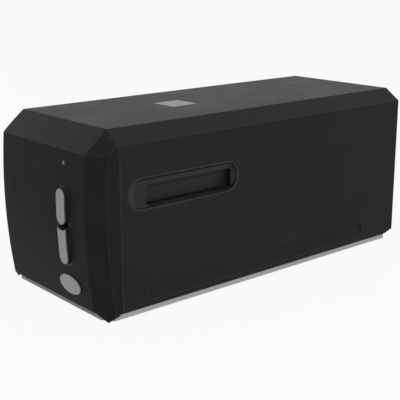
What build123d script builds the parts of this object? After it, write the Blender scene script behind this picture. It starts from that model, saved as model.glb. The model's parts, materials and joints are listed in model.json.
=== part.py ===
from build123d import *

import os
from math import acos, cos, hypot, pi, radians, sin, sqrt, tan

# Desktop 35 mm film scanner, in millimetres.
# +X is the right side as seen from the front, the front face looks along -Y, +Z is up.
# The origin is the centre of the casing's footprint, on the surface it stands on.

os.makedirs("parts", exist_ok=True)

# ---- driving dimensions of the casing ----
WIDTH = 120.0
DEPTH = 275.0
HEIGHT = 118.5
WALL = 2.5
EDGE_X = 12.1              # long top chamfer, measured across
EDGE_Z = 8.3               # long top chamfer, measured down
SKIRT_Z = 6.8              # lower edge of the black housing
SEAM_DEPTH = 18.0          # from the front face to the seam behind the bezel

FRONT_Y = -DEPTH / 2
REAR_Y = DEPTH / 2
SIDE_X = WIDTH / 2
SEAM_Y = FRONT_Y + SEAM_DEPTH
INNER_X = SIDE_X - WALL

# ---- clearances ----
GAP = 0.3                  # between parts that move past each other
SEAT = 0.1                 # between parts that are set into each other
RUN = 0.05                 # radial clearance of a shaft in its bore

# ---- front bezel ----
BOW_RADIUS = 386.0
BOW_MID_Z = 66.0
BROW_Z = 105.0             # where the bowed face turns into the sloping brow
BROW_DEPTH = 17.5
CORNER_X = 11.7            # vertical corner chamfer, across
CORNER_Y = 8.3             # vertical corner chamfer, back
TOE_Z = 1.2                # lowest point of each front corner
TOE_TIP_X = 55.0           # the tip lies in the middle of the corner chamfer
TOE_TIP_DEPTH = 10.0       # from the front face back to the tip
TOE_SIDE_Z = 5.8           # where the lower edge turns onto the side
TOE_X = 49.2               # where the lower edge starts to fall to the toe
LIP_Z = 7.4                # lower edge between the toes
TOE_DEPTH = 16.0           # from the front face back to the skirt
BEZEL_WALL = 2.6
SEAM_GROOVE = 0.35
POST_RADIUS = 3.2
POST_X = 43.0
POST_LOW_Z = 22.0
POST_HIGH_Z = 54.0

# ---- controls ----
KEY_X = 25.8
KEY_WIDTH = 9.2
KEY_PROUD = 2.5
KEY_TRAVEL = 1.2
UPPER_KEY_LOW_Z = 59.3
UPPER_KEY_HIGH_Z = 81.9
LOWER_KEY_LOW_Z = 33.8
LOWER_KEY_HIGH_Z = 57.4
LOWER_KEY_HOLLOW = 1.5     # depth of the hollow in the lower key's top end
PLATE_THICKNESS = 0.6
PLATE_RIM = 0.25
SURROUND_WALL = 1.0
SURROUND_DEPTH = 5.0
KEY_FLANGE_WIDTH = 11.0
KEY_FLANGE_DEPTH = 5.3
FLANGE_THICKNESS = 1.0
POWER_X = 26.2
POWER_Z = 20.1
POWER_HALF_WIDTH = 11.6
POWER_HALF_HEIGHT = 6.4
POWER_PROUD = 0.9
POWER_TRAVEL = 1.5
POWER_FLANGE_DEPTH = 6.7
LAMP_Z = 97.2
LAMP_RADIUS = 1.3
LENS_DEPTH = 8.0
BOARD_THICKNESS = 1.6
BUTTON_BOARD_DEPTH = 12.0
BUTTON_BOARD_X = 25.5
BUTTON_BOARD_WIDTH = 27.0
BUTTON_BOARD_LOW_Z = 11.0
BUTTON_BOARD_HIGH_Z = 104.0
BOARD_POST_RADIUS = 2.4
BOARD_POST_X = 10.5        # from the middle of the button board
BOARD_POST_LOW_Z = 33.0
BOARD_POST_HIGH_Z = 90.0
SWITCH_SIZE = 6.0
PLUNGER_RADIUS = 1.7
PLUNGER_HEIGHT = 0.9
CHIP_LAMP = 1.6
DIMPLE_RADIUS = 0.8
DIMPLE_DEPTH = 0.5
DIMPLE_PITCH_X = 8.3
DIMPLE_PITCH_Z = 7.8
DIMPLE_DROP_Z = 1.6        # each column starts this much lower
DIMPLE_X = -33.8
DIMPLE_Z = 93.0
DIMPLE_COLUMNS = 3
DIMPLE_ROWS = 8

# ---- film slot, on the right side and mirrored on the left ----
MOUTH_LENGTH = 87.5        # pill-shaped recess
MOUTH_HEIGHT = 20.2
MOUTH_Y = FRONT_Y + 67.4
MOUTH_Z = 78.8
MOUTH_RIM = 0.7
MOUTH_FLANGE = 2.0
SLOT_WIDTH = 68.7          # rectangular way for the film holder
SLOT_HEIGHT = 13.1
SLOT_CORNER = 2.4
SLOT_Y = FRONT_Y + 72.95
SLOT_LOW_Z = 70.2
SLOT_HIGH_Z = SLOT_LOW_Z + SLOT_HEIGHT
SLOT_MID_Z = SLOT_LOW_Z + SLOT_HEIGHT / 2
SLOT_FRONT_Y = SLOT_Y - SLOT_WIDTH / 2
SLOT_BACK_Y = SLOT_Y + SLOT_WIDTH / 2
SCOOP_DEPTH = 3.0
SCOOP_MID_DEPTH = 1.7
SCOOP_MID_SHARE = 0.32     # how far the scoop has closed in at its middle depth
TUNNEL_WALL = 1.7
TUNNEL_END_X = 40.2
DOOR_GAP = 0.35
DOOR_THICKNESS = 1.4
DOOR_X = 51.7              # hinge axis
DOOR_Z = SLOT_HIGH_Z - 1.9
DOOR_LOW_Z = SLOT_LOW_Z + 0.8
KNUCKLE_RADIUS = 1.5
PIN_RADIUS = 0.8
PIN_FRONT_END = 0.6
PIN_REAR_END = 6.5
SPRING_LENGTH = 5.0
SPRING_RADIUS = 1.7
SPRING_BORE = 1.1

# ---- grip recess low on each side ----
GRIP_LENGTH = 201.0
GRIP_LOW_Z = 10.3
GRIP_HIGH_Z = 22.6
GRIP_DEPTH_TOP = 2.0
GRIP_DEPTH_LOW = 0.5
GRIP_PAD = 1.9             # extra wall behind the recess
GRIP_PAD_LOW_Z = 8.6
GRIP_PAD_HIGH_Z = 25.0

# ---- rest of the casing ----
BADGE_SIZE = 21.0
BADGE_CORNER = 1.0
BADGE_Y = -30.0
BADGE_THICKNESS = 0.6
TAIL_RUN = 9.0             # the lower rear corners rise over this length
TAIL_RISE = 2.6
TRAY_X = 56.0
TRAY_FRONT_Y = FRONT_Y + 9.0
TRAY_REAR_Y = REAR_Y - 5.0
TRAY_LOW_Z = 1.6
TRAY_HIGH_Z = 8.2
TRAY_FLOOR = 2.4
TRAY_WALL = 2.0
TRAY_CORNER_X = 7.5
TRAY_CORNER_Y = 5.3
TRAY_FLOOR_Z = TRAY_LOW_Z + TRAY_FLOOR
TRAY_POST_RADIUS = 3.2
FOOT_RADIUS = 8.0
FOOT_HEIGHT = 2.0
FOOT_X = 42.0
FOOT_Y = 112.0
PANEL_THICKNESS = 2.5
PANEL_REAR_Y = REAR_Y - 1.0
PANEL_FRONT_Y = PANEL_REAR_Y - PANEL_THICKNESS

# ---- screws ----
SCREW_RADIUS = 1.25
SCREW_HEAD_RADIUS = 2.3
SCREW_HEAD_HEIGHT = 1.6
SCREW_LENGTH = 8.0
SCREW_CROSS_WIDTH = 0.6
SCREW_CROSS_DEPTH = 0.9
SCREW_SKIN = 0.5           # left under a blind screw hole
BOSS_WIDTH = 8.0
BOSS_IN_X = 50.0
BOSS_LOW_Z = 8.4
BOSS_HIGH_Z = 18.0
TRAY_SCREW_X = 52.8
TRAY_SCREW_HEAD_Z = 5.4
PANEL_SCREW_LOW_X = 51.5
PANEL_SCREW_LOW_Z = 14.0
PANEL_SCREW_HIGH_X = 40.0
PANEL_SCREW_HIGH_Z = 106.0
PANEL_POST_RADIUS = 3.5
PANEL_POST_LENGTH = 12.0

# ---- chassis ----
SHEET = 1.5
CHASSIS_X = 49.5
CHASSIS_LOW_Z = 8.0
CHASSIS_FLOOR_Z = CHASSIS_LOW_Z + SHEET
CHASSIS_HIGH_Z = 64.0
CHASSIS_REAR_Y = 116.0
CHEEK_STEP_Y = -20.0
CHEEK_REAR_Z = 40.0
CHEEK_REAR_Y = 86.0
EAR_IN_X = 37.0
CHASSIS_SCREW_X = 40.0
CHASSIS_SCREW_YS = (-98.0, 16.0)
STANDOFF_RADIUS = 3.0
ROD_RADIUS = 3.0
ROD_Z = 27.0
FRONT_ROD_Y = -104.0
REAR_ROD_Y = 74.0

# ---- film track and lamp ----
TRACK_X = 39.6
TRACK_PLATE_Z = 66.5
TRACK_RAIL = 3.5
TRACK_CLEAR = 0.15
WINDOW_X = 38.0
WINDOW_Y = 26.0
GUIDE_HIGH_Z = SLOT_HIGH_Z + 2.0
LAMP_BOX_X = 52.0
LAMP_BOX_Y = 40.0
LAMP_BOX_HIGH_Z = 102.0
LAMP_COLUMNS = 4
LAMP_ROWS = 3
LAMP_PITCH = 10.0
LAMP_CHIP = 3.0
LAMP_CHIP_HEIGHT = 1.0
DIFFUSER_MARGIN = 3.0
DIFFUSER_THICKNESS = 2.0

# ---- carriage and optics ----
SCAN_TRAVEL = 36.8
HOME_X = -SCAN_TRAVEL / 2
CARRIAGE_HALF = 28.0
CARRIAGE_FRONT_Y = -112.5
CARRIAGE_REAR_Y = 84.0
CARRIAGE_LOW_Z = 19.0
CARRIAGE_HIGH_Z = 58.0
CARRIAGE_WALL = 2.0
CARRIAGE_FLOOR_Z = CARRIAGE_LOW_Z + CARRIAGE_WALL
COVER_THICKNESS = 1.5
SLIT_X = 4.0
SLIT_Y = 28.0
BUSH_RADIUS = 4.5
BUSH_FLANGE_RADIUS = 5.6
BUSH_FLANGE = 1.0
MIRROR_WIDTH = 34.0
MIRROR_LENGTH = 26.0
MIRROR_THICKNESS = 3.0
AXIS_Z = 40.0              # optical axis behind the mirror
LENS_RADIUS = 9.0
LENS_FRONT_Y = -10.0
LENS_REAR_Y = 24.0
LENS_BORE = 7.5
LENS_BLOCK_X = 26.0
LENS_BLOCK_FRONT_Y = -4.0
LENS_BLOCK_REAR_Y = 18.0
LENS_BLOCK_HIGH_Z = 43.0
GLASS_THICKNESS = 3.0
SENSOR_BOARD_Y = 56.0
SENSOR_BOARD_X = 48.0
SENSOR_BOARD_LOW_Z = CARRIAGE_FLOOR_Z
SENSOR_BOARD_HIGH_Z = 55.0
SENSOR_X = 32.0
SENSOR_Z = 9.0
SENSOR_THICKNESS = 3.0
FLAG_X = 6.0
FLAG_Y = 1.2
FLAG_LOW_Z = 13.0
HOME_SENSOR_X = 10.0
HOME_SENSOR_Y = 7.0
HOME_SENSOR_SLOT = 3.0
HOME_SENSOR_HIGH_Z = 18.6
HOME_FLAG_X = -41.0
HOME_FLAG_Y = 31.0

# ---- drive ----
PULLEY_X = 41.0
PULLEY_Z = 30.0
PULLEY_RADIUS = 6.0
PULLEY_FLANGE_RADIUS = 8.0
PULLEY_FLANGE = 0.6
BELT_THICKNESS = 1.2
BELT_WIDTH = 6.0
BELT_Y = 91.5
BELT_SIDE_GAP = 0.2
CLAMP_HALF = 6.0
CLAMP_JAW = 2.0
AXLE_RADIUS = 1.5
AXLE_SHOULDER_RADIUS = 2.5
AXLE_HEAD = 1.5
MODULE = 0.75
WHEEL_TEETH = 30
PINION_TEETH = 10
PRESSURE_ANGLE = 20.0
TOOTH_SLACK = 0.14         # taken off each flank at the pitch circle
WHEEL_ADDENDUM = 0.7
PINION_ADDENDUM = 0.9
DEDENDUM = 1.25
GEAR_FRONT_Y = 96.0
GEAR_THICKNESS = 4.0
GEAR_ANGLE = 55.0          # direction from the wheel to the pinion
BRACKET_Y = 102.0
BRACKET_HIGH_Z = 68.0
BRACKET_LOW_Z = 17.0
BRACKET_STEP_X = -8.0
BRACKET_RIGHT_Z = 40.0
BRACKET_LEG = 4.0
BRACKET_TOE = 6.0
MOTOR_RADIUS = 17.5
MOTOR_LENGTH = 22.0
MOTOR_BOSS_RADIUS = 5.0
MOTOR_EAR_REACH = 21.0
MOTOR_EAR_RADIUS = 3.5
MOTOR_SHAFT_RADIUS = 1.0
MOTOR_SHAFT_DEPTH = 7.0
MOTOR_SCREW_LENGTH = 4.0

# ---- electronics ----
MAIN_BOARD_Z = 12.0
MAIN_BOARD_TOP_Z = MAIN_BOARD_Z + BOARD_THICKNESS
MAIN_BOARD_X = 44.0
MAIN_BOARD_FRONT_Y = 38.0
MAIN_BOARD_REAR_Y = 133.0
MAIN_BOARD_SCREW_X = 39.0
MAIN_BOARD_SCREW_YS = (44.0, 110.0)
CHIP_HEIGHT = 1.8
CHIP_SIZE = 16.0
CHIP_Y = 68.0
CHIP_PITCH = 28.0
CAPACITOR_RADIUS = 4.0
CAPACITOR_HEIGHT = 9.0
CAPACITOR_X = -20.0
CAPACITOR_Y = 125.0
CAPACITOR_PITCH = 10.0
SOCKET_REAR_Y = PANEL_REAR_Y - 0.2
SOCKET_RECESS = 4.6        # clear depth in front of a socket's tongue or pin
SOCKET_CAVITY = 9.0
USB_X = 14.0
USB_WIDTH = 12.0
USB_HEIGHT = 11.0
USB_LENGTH = 16.3
USB_CAVITY_X = 8.5
USB_CAVITY_Z = 7.8
USB_TONGUE_X = 5.6
USB_TONGUE_Z = 3.2
POWER_INLET_X = 33.0
POWER_INLET_WIDTH = 9.0
POWER_INLET_HEIGHT = 11.0
POWER_INLET_LENGTH = 14.3
POWER_INLET_BORE = 3.2
POWER_INLET_PIN = 1.0


# ---- shared helpers ----

def facing_front(y):
    """Plane across the depth at y. Its normal is -Y, so an extrusion comes forward."""
    return Plane.XZ.offset(-y)


def block(low, high, mode=Mode.ADD):
    """Rectangular block between two opposite corners."""
    middle = [(a + b) / 2 for a, b in zip(low, high)]
    size = [b - a for a, b in zip(low, high)]
    with Locations(tuple(middle)):
        Box(*size, mode=mode)


def rod_x(radius, low_x, high_x, y, z, mode=Mode.ADD):
    """Round bar or bore along X."""
    with Locations(((low_x + high_x) / 2, y, z)):
        Cylinder(radius, high_x - low_x, rotation=(0, 90, 0), mode=mode)


def rod_y(radius, low_y, high_y, x, z, mode=Mode.ADD):
    """Round bar or bore along Y."""
    with Locations((x, (low_y + high_y) / 2, z)):
        Cylinder(radius, high_y - low_y, rotation=(90, 0, 0), mode=mode)


def rod_z(radius, low_z, high_z, x, y, mode=Mode.ADD):
    """Round bar or bore along Z."""
    with Locations((x, y, (low_z + high_z) / 2)):
        Cylinder(radius, high_z - low_z, mode=mode)


def screws(plane, places, length):
    """Pan-head screws with cross recesses. The heads stand on the plane's positive side."""
    with BuildPart() as group:
        with BuildSketch(plane):
            with Locations(places):
                Circle(SCREW_HEAD_RADIUS)
        extrude(amount=SCREW_HEAD_HEIGHT)
        with BuildSketch(plane):
            with Locations(places):
                Circle(SCREW_RADIUS)
        extrude(amount=-length)
        with BuildSketch(plane.offset(SCREW_HEAD_HEIGHT)):
            with Locations(places):
                Rectangle(2 * SCREW_RADIUS, SCREW_CROSS_WIDTH)
                Rectangle(SCREW_CROSS_WIDTH, 2 * SCREW_RADIUS)
        extrude(amount=-SCREW_CROSS_DEPTH, mode=Mode.SUBTRACT)
    return group


def save(piece, label):
    """Name the piece and write its file."""
    piece.part.label = label
    export_step(piece.part, f"parts/{label}.step")


def save_mirrored(piece, label):
    """Write the piece's mirror image on the left side."""
    with BuildPart() as twin:
        add(mirror(piece.part, about=Plane.YZ, mode=Mode.PRIVATE))
    save(twin, label)


# ---- outlines that several pieces share ----

def bow_y(z):
    """The front face's Y at height z."""
    return FRONT_Y + BOW_RADIUS - sqrt(BOW_RADIUS**2 - (z - BOW_MID_Z) ** 2)


def housing_profile(inset, low_z):
    """Closed polyline of the casing's cross-section, moved inwards by inset."""
    slant = hypot(EDGE_X, EDGE_Z)
    side = SIDE_X - inset
    top = HEIGHT - inset
    shoulder_x = SIDE_X - EDGE_X - inset * (slant - EDGE_X) / EDGE_Z
    shoulder_z = HEIGHT - EDGE_Z - inset * (slant - EDGE_Z) / EDGE_X
    Polyline(
        (-side, low_z),
        (-side, shoulder_z),
        (-shoulder_x, top),
        (shoulder_x, top),
        (side, shoulder_z),
        (side, low_z),
        close=True,
    )


def bezel_profile(low_z, back_y):
    """Closed side outline of the bowed face, the sloping brow and the back."""
    ThreePointArc(
        (bow_y(low_z), low_z),
        (FRONT_Y, BOW_MID_Z),
        (bow_y(BROW_Z), BROW_Z),
    )
    Polyline(
        (bow_y(BROW_Z), BROW_Z),
        (FRONT_Y + BROW_DEPTH, HEIGHT),
        (back_y, HEIGHT),
        (back_y, low_z),
        (bow_y(low_z), low_z),
    )


def bow_band(proud):
    """Closed side outline of everything behind the bow, moved forward by proud."""
    ThreePointArc(
        (bow_y(TOE_Z) - proud, TOE_Z),
        (FRONT_Y - proud, BOW_MID_Z),
        (bow_y(BROW_Z) - proud, BROW_Z),
    )
    Polyline(
        (bow_y(BROW_Z) - proud, BROW_Z),
        (SEAM_Y, BROW_Z),
        (SEAM_Y, TOE_Z),
        (bow_y(TOE_Z) - proud, TOE_Z),
    )


def tray_outline(margin, back_y):
    """Closed plan outline of the base tray with its two cut front corners."""
    side = TRAY_X + margin
    front = TRAY_FRONT_Y - margin
    Polyline(
        (-side, back_y),
        (-side, front + TRAY_CORNER_Y),
        (-side + TRAY_CORNER_X, front),
        (side - TRAY_CORNER_X, front),
        (side, front + TRAY_CORNER_Y),
        (side, back_y),
        close=True,
    )


# ---- main housing: top and both sides in one shell ----

with BuildPart() as grip_tool:
    with BuildSketch(Plane.YZ.offset(SIDE_X - GRIP_DEPTH_TOP)):
        with Locations((0, (GRIP_LOW_Z + GRIP_HIGH_Z) / 2)):
            SlotOverall(GRIP_LENGTH, GRIP_HIGH_Z - GRIP_LOW_Z)
    extrude(amount=2 * GRIP_DEPTH_TOP)
    grip_floor = Plane(
        origin=(SIDE_X - GRIP_DEPTH_TOP, 0, GRIP_HIGH_Z),
        x_dir=(0, 1, 0),
        z_dir=(GRIP_HIGH_Z - GRIP_LOW_Z, 0, GRIP_DEPTH_TOP - GRIP_DEPTH_LOW),
    )
    split(bisect_by=grip_floor, keep=Keep.TOP)

with BuildPart() as main_housing:
    with BuildSketch(facing_front(REAR_Y)):
        with BuildLine():
            housing_profile(0, SKIRT_Z)
        make_face()
        with BuildLine():
            housing_profile(WALL, 0)
        make_face(mode=Mode.SUBTRACT)
    extrude(amount=REAR_Y - SEAM_Y)
    for side in (-1, 1):
        with BuildSketch(Plane.YZ.offset(side * INNER_X)):
            with Locations((0, (GRIP_PAD_LOW_Z + GRIP_PAD_HIGH_Z) / 2)):
                Rectangle(GRIP_LENGTH + 2 * WALL, GRIP_PAD_HIGH_Z - GRIP_PAD_LOW_Z)
        extrude(amount=-side * GRIP_PAD)
        # bosses for the tray screws, front and rear
        boss_low_x, boss_high_x = sorted((side * BOSS_IN_X, side * INNER_X))
        for end in (-1, 1):
            boss_y = end * FOOT_Y
            block(
                (boss_low_x, boss_y - BOSS_WIDTH / 2, BOSS_LOW_Z),
                (boss_high_x, boss_y + BOSS_WIDTH / 2, BOSS_HIGH_Z),
            )
            rod_z(
                SCREW_RADIUS + SEAT,
                BOSS_LOW_Z,
                TRAY_SCREW_HEAD_Z + SCREW_LENGTH + SCREW_SKIN,
                side * TRAY_SCREW_X,
                boss_y,
                mode=Mode.SUBTRACT,
            )
        # blocks and posts for the rear panel screws
        low_x, high_x = sorted((side * (PANEL_SCREW_LOW_X - PANEL_POST_RADIUS), side * INNER_X))
        block(
            (low_x, PANEL_FRONT_Y - PANEL_POST_LENGTH, PANEL_SCREW_LOW_Z - PANEL_POST_RADIUS),
            (high_x, PANEL_FRONT_Y, PANEL_SCREW_LOW_Z + PANEL_POST_RADIUS),
        )
        rod_y(
            PANEL_POST_RADIUS,
            PANEL_FRONT_Y - PANEL_POST_LENGTH,
            PANEL_FRONT_Y,
            side * PANEL_SCREW_HIGH_X,
            PANEL_SCREW_HIGH_Z,
        )
        block(
            (
                side * PANEL_SCREW_HIGH_X - WALL / 2,
                PANEL_FRONT_Y - PANEL_POST_LENGTH,
                PANEL_SCREW_HIGH_Z,
            ),
            (side * PANEL_SCREW_HIGH_X + WALL / 2, PANEL_FRONT_Y, HEIGHT - WALL),
        )
        for hole_x, hole_z in (
            (PANEL_SCREW_LOW_X, PANEL_SCREW_LOW_Z),
            (PANEL_SCREW_HIGH_X, PANEL_SCREW_HIGH_Z),
        ):
            rod_y(
                SCREW_RADIUS + SEAT,
                PANEL_REAR_Y - SCREW_LENGTH - SCREW_SKIN,
                PANEL_FRONT_Y,
                side * hole_x,
                hole_z,
                mode=Mode.SUBTRACT,
            )
    add(grip_tool.part, mode=Mode.SUBTRACT)
    add(mirror(grip_tool.part, about=Plane.YZ, mode=Mode.PRIVATE), mode=Mode.SUBTRACT)
    with BuildSketch(Plane.YZ.offset(-SIDE_X)):
        with Locations((MOUTH_Y, MOUTH_Z)):
            SlotOverall(MOUTH_LENGTH + 2 * SEAT, MOUTH_HEIGHT + 2 * SEAT)
    extrude(amount=WIDTH, mode=Mode.SUBTRACT)
    # lower rear corners rise to the back
    with BuildSketch(Plane.YZ.offset(-SIDE_X)):
        with BuildLine():
            Polyline(
                (REAR_Y - TAIL_RUN, SKIRT_Z),
                (REAR_Y, SKIRT_Z + TAIL_RISE),
                (REAR_Y, SKIRT_Z),
                close=True,
            )
        make_face()
    extrude(amount=WIDTH, mode=Mode.SUBTRACT)
    # shallow seat for the badge
    with BuildSketch(Plane.XY.offset(HEIGHT)):
        with Locations((0, BADGE_Y)):
            RectangleRounded(BADGE_SIZE + 2 * SEAT, BADGE_SIZE + 2 * SEAT, BADGE_CORNER)
    extrude(amount=-BADGE_THICKNESS, mode=Mode.SUBTRACT)
    # fine groove along the seam
    with BuildSketch(facing_front(SEAM_Y + SEAM_GROOVE)):
        with BuildLine():
            housing_profile(0, 0)
        make_face()
        with BuildLine():
            housing_profile(SEAM_GROOVE, 0)
        make_face(mode=Mode.SUBTRACT)
    extrude(amount=SEAM_GROOVE, mode=Mode.SUBTRACT)
save(main_housing, "main_housing")

with BuildPart() as top_badge:
    with BuildSketch(Plane.XY.offset(HEIGHT - BADGE_THICKNESS)):
        with Locations((0, BADGE_Y)):
            RectangleRounded(BADGE_SIZE, BADGE_SIZE, BADGE_CORNER)
    extrude(amount=BADGE_THICKNESS)
save(top_badge, "top_badge")


# ---- front bezel: everything in front of the seam ----

# what the right corner chamfer takes off the straight block
with BuildPart() as corner_offcut:
    corner_in_x = SIDE_X - CORNER_X
    with BuildSketch(Plane.YZ.offset(corner_in_x)):
        with BuildLine():
            bezel_profile(TOE_Z, SEAM_Y)
        make_face()
    extrude(amount=CORNER_X + 1)
    with BuildSketch(Plane.YZ.offset(corner_in_x)):
        with BuildLine():
            bezel_profile(0, SEAM_Y + SEAM_DEPTH)
        make_face()
    extrude(
        amount=2 * hypot(CORNER_X, CORNER_Y),
        dir=(CORNER_X, CORNER_Y, 0),
        mode=Mode.SUBTRACT,
    )

SURROUND_WIDTH = KEY_WIDTH + 2 * GAP + 2 * SURROUND_WALL
SURROUND_LENGTH = UPPER_KEY_HIGH_Z - LOWER_KEY_LOW_Z + 2 * GAP + 2 * SURROUND_WALL
SURROUND_Z = (UPPER_KEY_HIGH_Z + LOWER_KEY_LOW_Z) / 2
BUTTON_BOARD_FRONT_Y = FRONT_Y + BUTTON_BOARD_DEPTH
BUTTON_BOARD_REAR_Y = BUTTON_BOARD_FRONT_Y + BOARD_THICKNESS
BOARD_POSTS = [
    (BUTTON_BOARD_X + side * BOARD_POST_X, z)
    for side in (-1, 1)
    for z in (BOARD_POST_LOW_Z, BOARD_POST_HIGH_Z)
]
BEZEL_POSTS = [(side * POST_X, z) for side in (-1, 1) for z in (POST_LOW_Z, POST_HIGH_Z)]

with BuildPart() as front_bezel:
    with BuildSketch(Plane.YZ.offset(-SIDE_X)):
        with BuildLine():
            bezel_profile(TOE_Z, SEAM_Y)
        make_face()
    extrude(amount=WIDTH)
    add(corner_offcut.part, mode=Mode.SUBTRACT)
    add(mirror(corner_offcut.part, about=Plane.YZ, mode=Mode.PRIVATE), mode=Mode.SUBTRACT)
    with BuildSketch(facing_front(SEAM_Y)):
        with BuildLine():
            housing_profile(0, 0)
        make_face()
    extrude(amount=SEAM_DEPTH, mode=Mode.INTERSECT)
    # lower edge: raised between the toes and behind them
    with BuildSketch(facing_front(SEAM_Y)):
        with BuildLine():
            Polyline(
                (-SIDE_X, TOE_SIDE_Z),
                (-TOE_TIP_X, TOE_Z),
                (-TOE_X, LIP_Z),
                (TOE_X, LIP_Z),
                (TOE_TIP_X, TOE_Z),
                (SIDE_X, TOE_SIDE_Z),
                (SIDE_X, 0),
                (-SIDE_X, 0),
                close=True,
            )
        make_face()
    extrude(amount=SEAM_DEPTH, mode=Mode.SUBTRACT)
    with BuildSketch(Plane.YZ.offset(-SIDE_X)):
        with BuildLine():
            Polyline(
                (FRONT_Y + TOE_TIP_DEPTH, TOE_Z),
                (FRONT_Y + TOE_DEPTH, SKIRT_Z),
                (SEAM_Y, SKIRT_Z),
                (SEAM_Y, 0),
                (FRONT_Y + TOE_TIP_DEPTH, 0),
                close=True,
            )
        make_face()
    extrude(amount=WIDTH, mode=Mode.SUBTRACT)
    # hollow behind the face
    hollow_x = SIDE_X - CORNER_X - WALL
    face_high_y = bow_y(BROW_Z) + BEZEL_WALL
    brow_slope = (HEIGHT - BROW_Z) / (FRONT_Y + BROW_DEPTH - bow_y(BROW_Z))
    brow_drop = BEZEL_WALL * hypot(1, brow_slope)
    brow_low_z = BROW_Z + brow_slope * BEZEL_WALL - brow_drop
    brow_high_z = brow_low_z + brow_slope * (SEAM_Y - face_high_y)
    with BuildSketch(Plane.YZ.offset(-hollow_x)):
        with BuildLine():
            ThreePointArc(
                (bow_y(0) + BEZEL_WALL, 0),
                (FRONT_Y + BEZEL_WALL, BOW_MID_Z),
                (face_high_y, brow_low_z),
            )
            Polyline(
                (face_high_y, brow_low_z),
                (SEAM_Y, brow_high_z),
                (SEAM_Y, 0),
                (bow_y(0) + BEZEL_WALL, 0),
            )
        make_face()
    extrude(amount=2 * hollow_x, mode=Mode.SUBTRACT)
    # hollow behind the corner chamfers
    pocket_x = SIDE_X - 2 * BEZEL_WALL - 1
    pocket_high_z = BROW_Z - 1
    block(
        (-pocket_x, FRONT_Y + CORNER_Y + BEZEL_WALL, 0),
        (pocket_x, SEAM_Y, pocket_high_z),
        mode=Mode.SUBTRACT,
    )
    # step at the seam, as wide as the housing's inside
    with BuildSketch(facing_front(SEAM_Y)):
        with BuildLine():
            housing_profile(WALL, 0)
        make_face()
    extrude(amount=WALL / 2, mode=Mode.SUBTRACT)
    # room for the tray's front edge
    with BuildSketch(Plane.XY):
        with BuildLine():
            tray_outline(GAP, SEAM_Y)
        make_face()
    extrude(amount=TRAY_HIGH_Z + GAP, mode=Mode.SUBTRACT)
    # screw posts for the chassis and for the button board
    for post_x, post_z in BEZEL_POSTS:
        rod_y(POST_RADIUS, bow_y(post_z) + BEZEL_WALL / 2, SEAM_Y, post_x, post_z)
        rod_y(
            SCREW_RADIUS + SEAT,
            SEAM_Y - SCREW_LENGTH,
            SEAM_Y,
            post_x,
            post_z,
            mode=Mode.SUBTRACT,
        )
    for post_x, post_z in BOARD_POSTS:
        post_front_y = bow_y(post_z) + BEZEL_WALL / 2
        rod_y(BOARD_POST_RADIUS, post_front_y, BUTTON_BOARD_FRONT_Y, post_x, post_z)
        rod_y(
            SCREW_RADIUS + SEAT,
            BUTTON_BOARD_REAR_Y - SCREW_LENGTH - SEAT,
            BUTTON_BOARD_FRONT_Y,
            post_x,
            post_z,
            mode=Mode.SUBTRACT,
        )
    # openings for the scan keys' surround, the power key and the lamp lens
    with BuildSketch(facing_front(FRONT_Y + BUTTON_BOARD_DEPTH)):
        with Locations((KEY_X, SURROUND_Z)):
            SlotOverall(SURROUND_LENGTH + 2 * SEAT, SURROUND_WIDTH + 2 * SEAT, rotation=90)
        with Locations((POWER_X, POWER_Z)):
            Ellipse(POWER_HALF_WIDTH + GAP, POWER_HALF_HEIGHT + GAP)
        with Locations((KEY_X, LAMP_Z)):
            Circle(LAMP_RADIUS + SEAT)
    extrude(amount=SEAM_DEPTH, mode=Mode.SUBTRACT)
    # small round dimples, each column a little lower than the last
    for column in range(DIMPLE_COLUMNS):
        for row in range(DIMPLE_ROWS):
            dimple_x = DIMPLE_X + column * DIMPLE_PITCH_X
            dimple_z = DIMPLE_Z - column * DIMPLE_DROP_Z - row * DIMPLE_PITCH_Z
            face_y = bow_y(dimple_z)
            rod_y(
                DIMPLE_RADIUS,
                face_y - WALL,
                face_y + DIMPLE_DEPTH,
                dimple_x,
                dimple_z,
                mode=Mode.SUBTRACT,
            )
save(front_bezel, "front_bezel")


# ---- controls in the bezel ----

def key_outline(low_z, shoulder_z, width, crown):
    """Outline of a scan key: round bottom, and a crown that is round or hollow."""
    half = width / 2
    Line((KEY_X - half, shoulder_z), (KEY_X - half, low_z + half))
    ThreePointArc(
        (KEY_X - half, low_z + half),
        (KEY_X, low_z),
        (KEY_X + half, low_z + half),
    )
    Line((KEY_X + half, low_z + half), (KEY_X + half, shoulder_z))
    ThreePointArc(
        (KEY_X + half, shoulder_z),
        (KEY_X, shoulder_z + crown),
        (KEY_X - half, shoulder_z),
    )


def scan_key(low_z, shoulder_z, crown):
    """Black key body with a flange behind the surround that keeps it in."""
    with BuildPart() as key:
        with BuildSketch(facing_front(FRONT_Y + KEY_FLANGE_DEPTH)) as outline:
            with BuildLine() as edge:
                key_outline(low_z, shoulder_z, KEY_WIDTH, crown)
            make_face(edge.edges())
        extrude(outline.sketch, amount=2 * KEY_FLANGE_DEPTH)
        with BuildSketch(Plane.YZ) as band:
            with BuildLine() as edge:
                bow_band(KEY_PROUD - PLATE_THICKNESS)
            make_face(edge.edges())
        extrude(band.sketch, amount=SIDE_X, mode=Mode.INTERSECT)
        middle_z = (low_z + shoulder_z) / 2
        half_length = (shoulder_z - low_z - KEY_WIDTH) / 2
        block(
            (KEY_X - KEY_FLANGE_WIDTH / 2, FRONT_Y + KEY_FLANGE_DEPTH, middle_z - half_length),
            (
                KEY_X + KEY_FLANGE_WIDTH / 2,
                FRONT_Y + KEY_FLANGE_DEPTH + FLANGE_THICKNESS,
                middle_z + half_length,
            ),
        )
    return key


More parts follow.
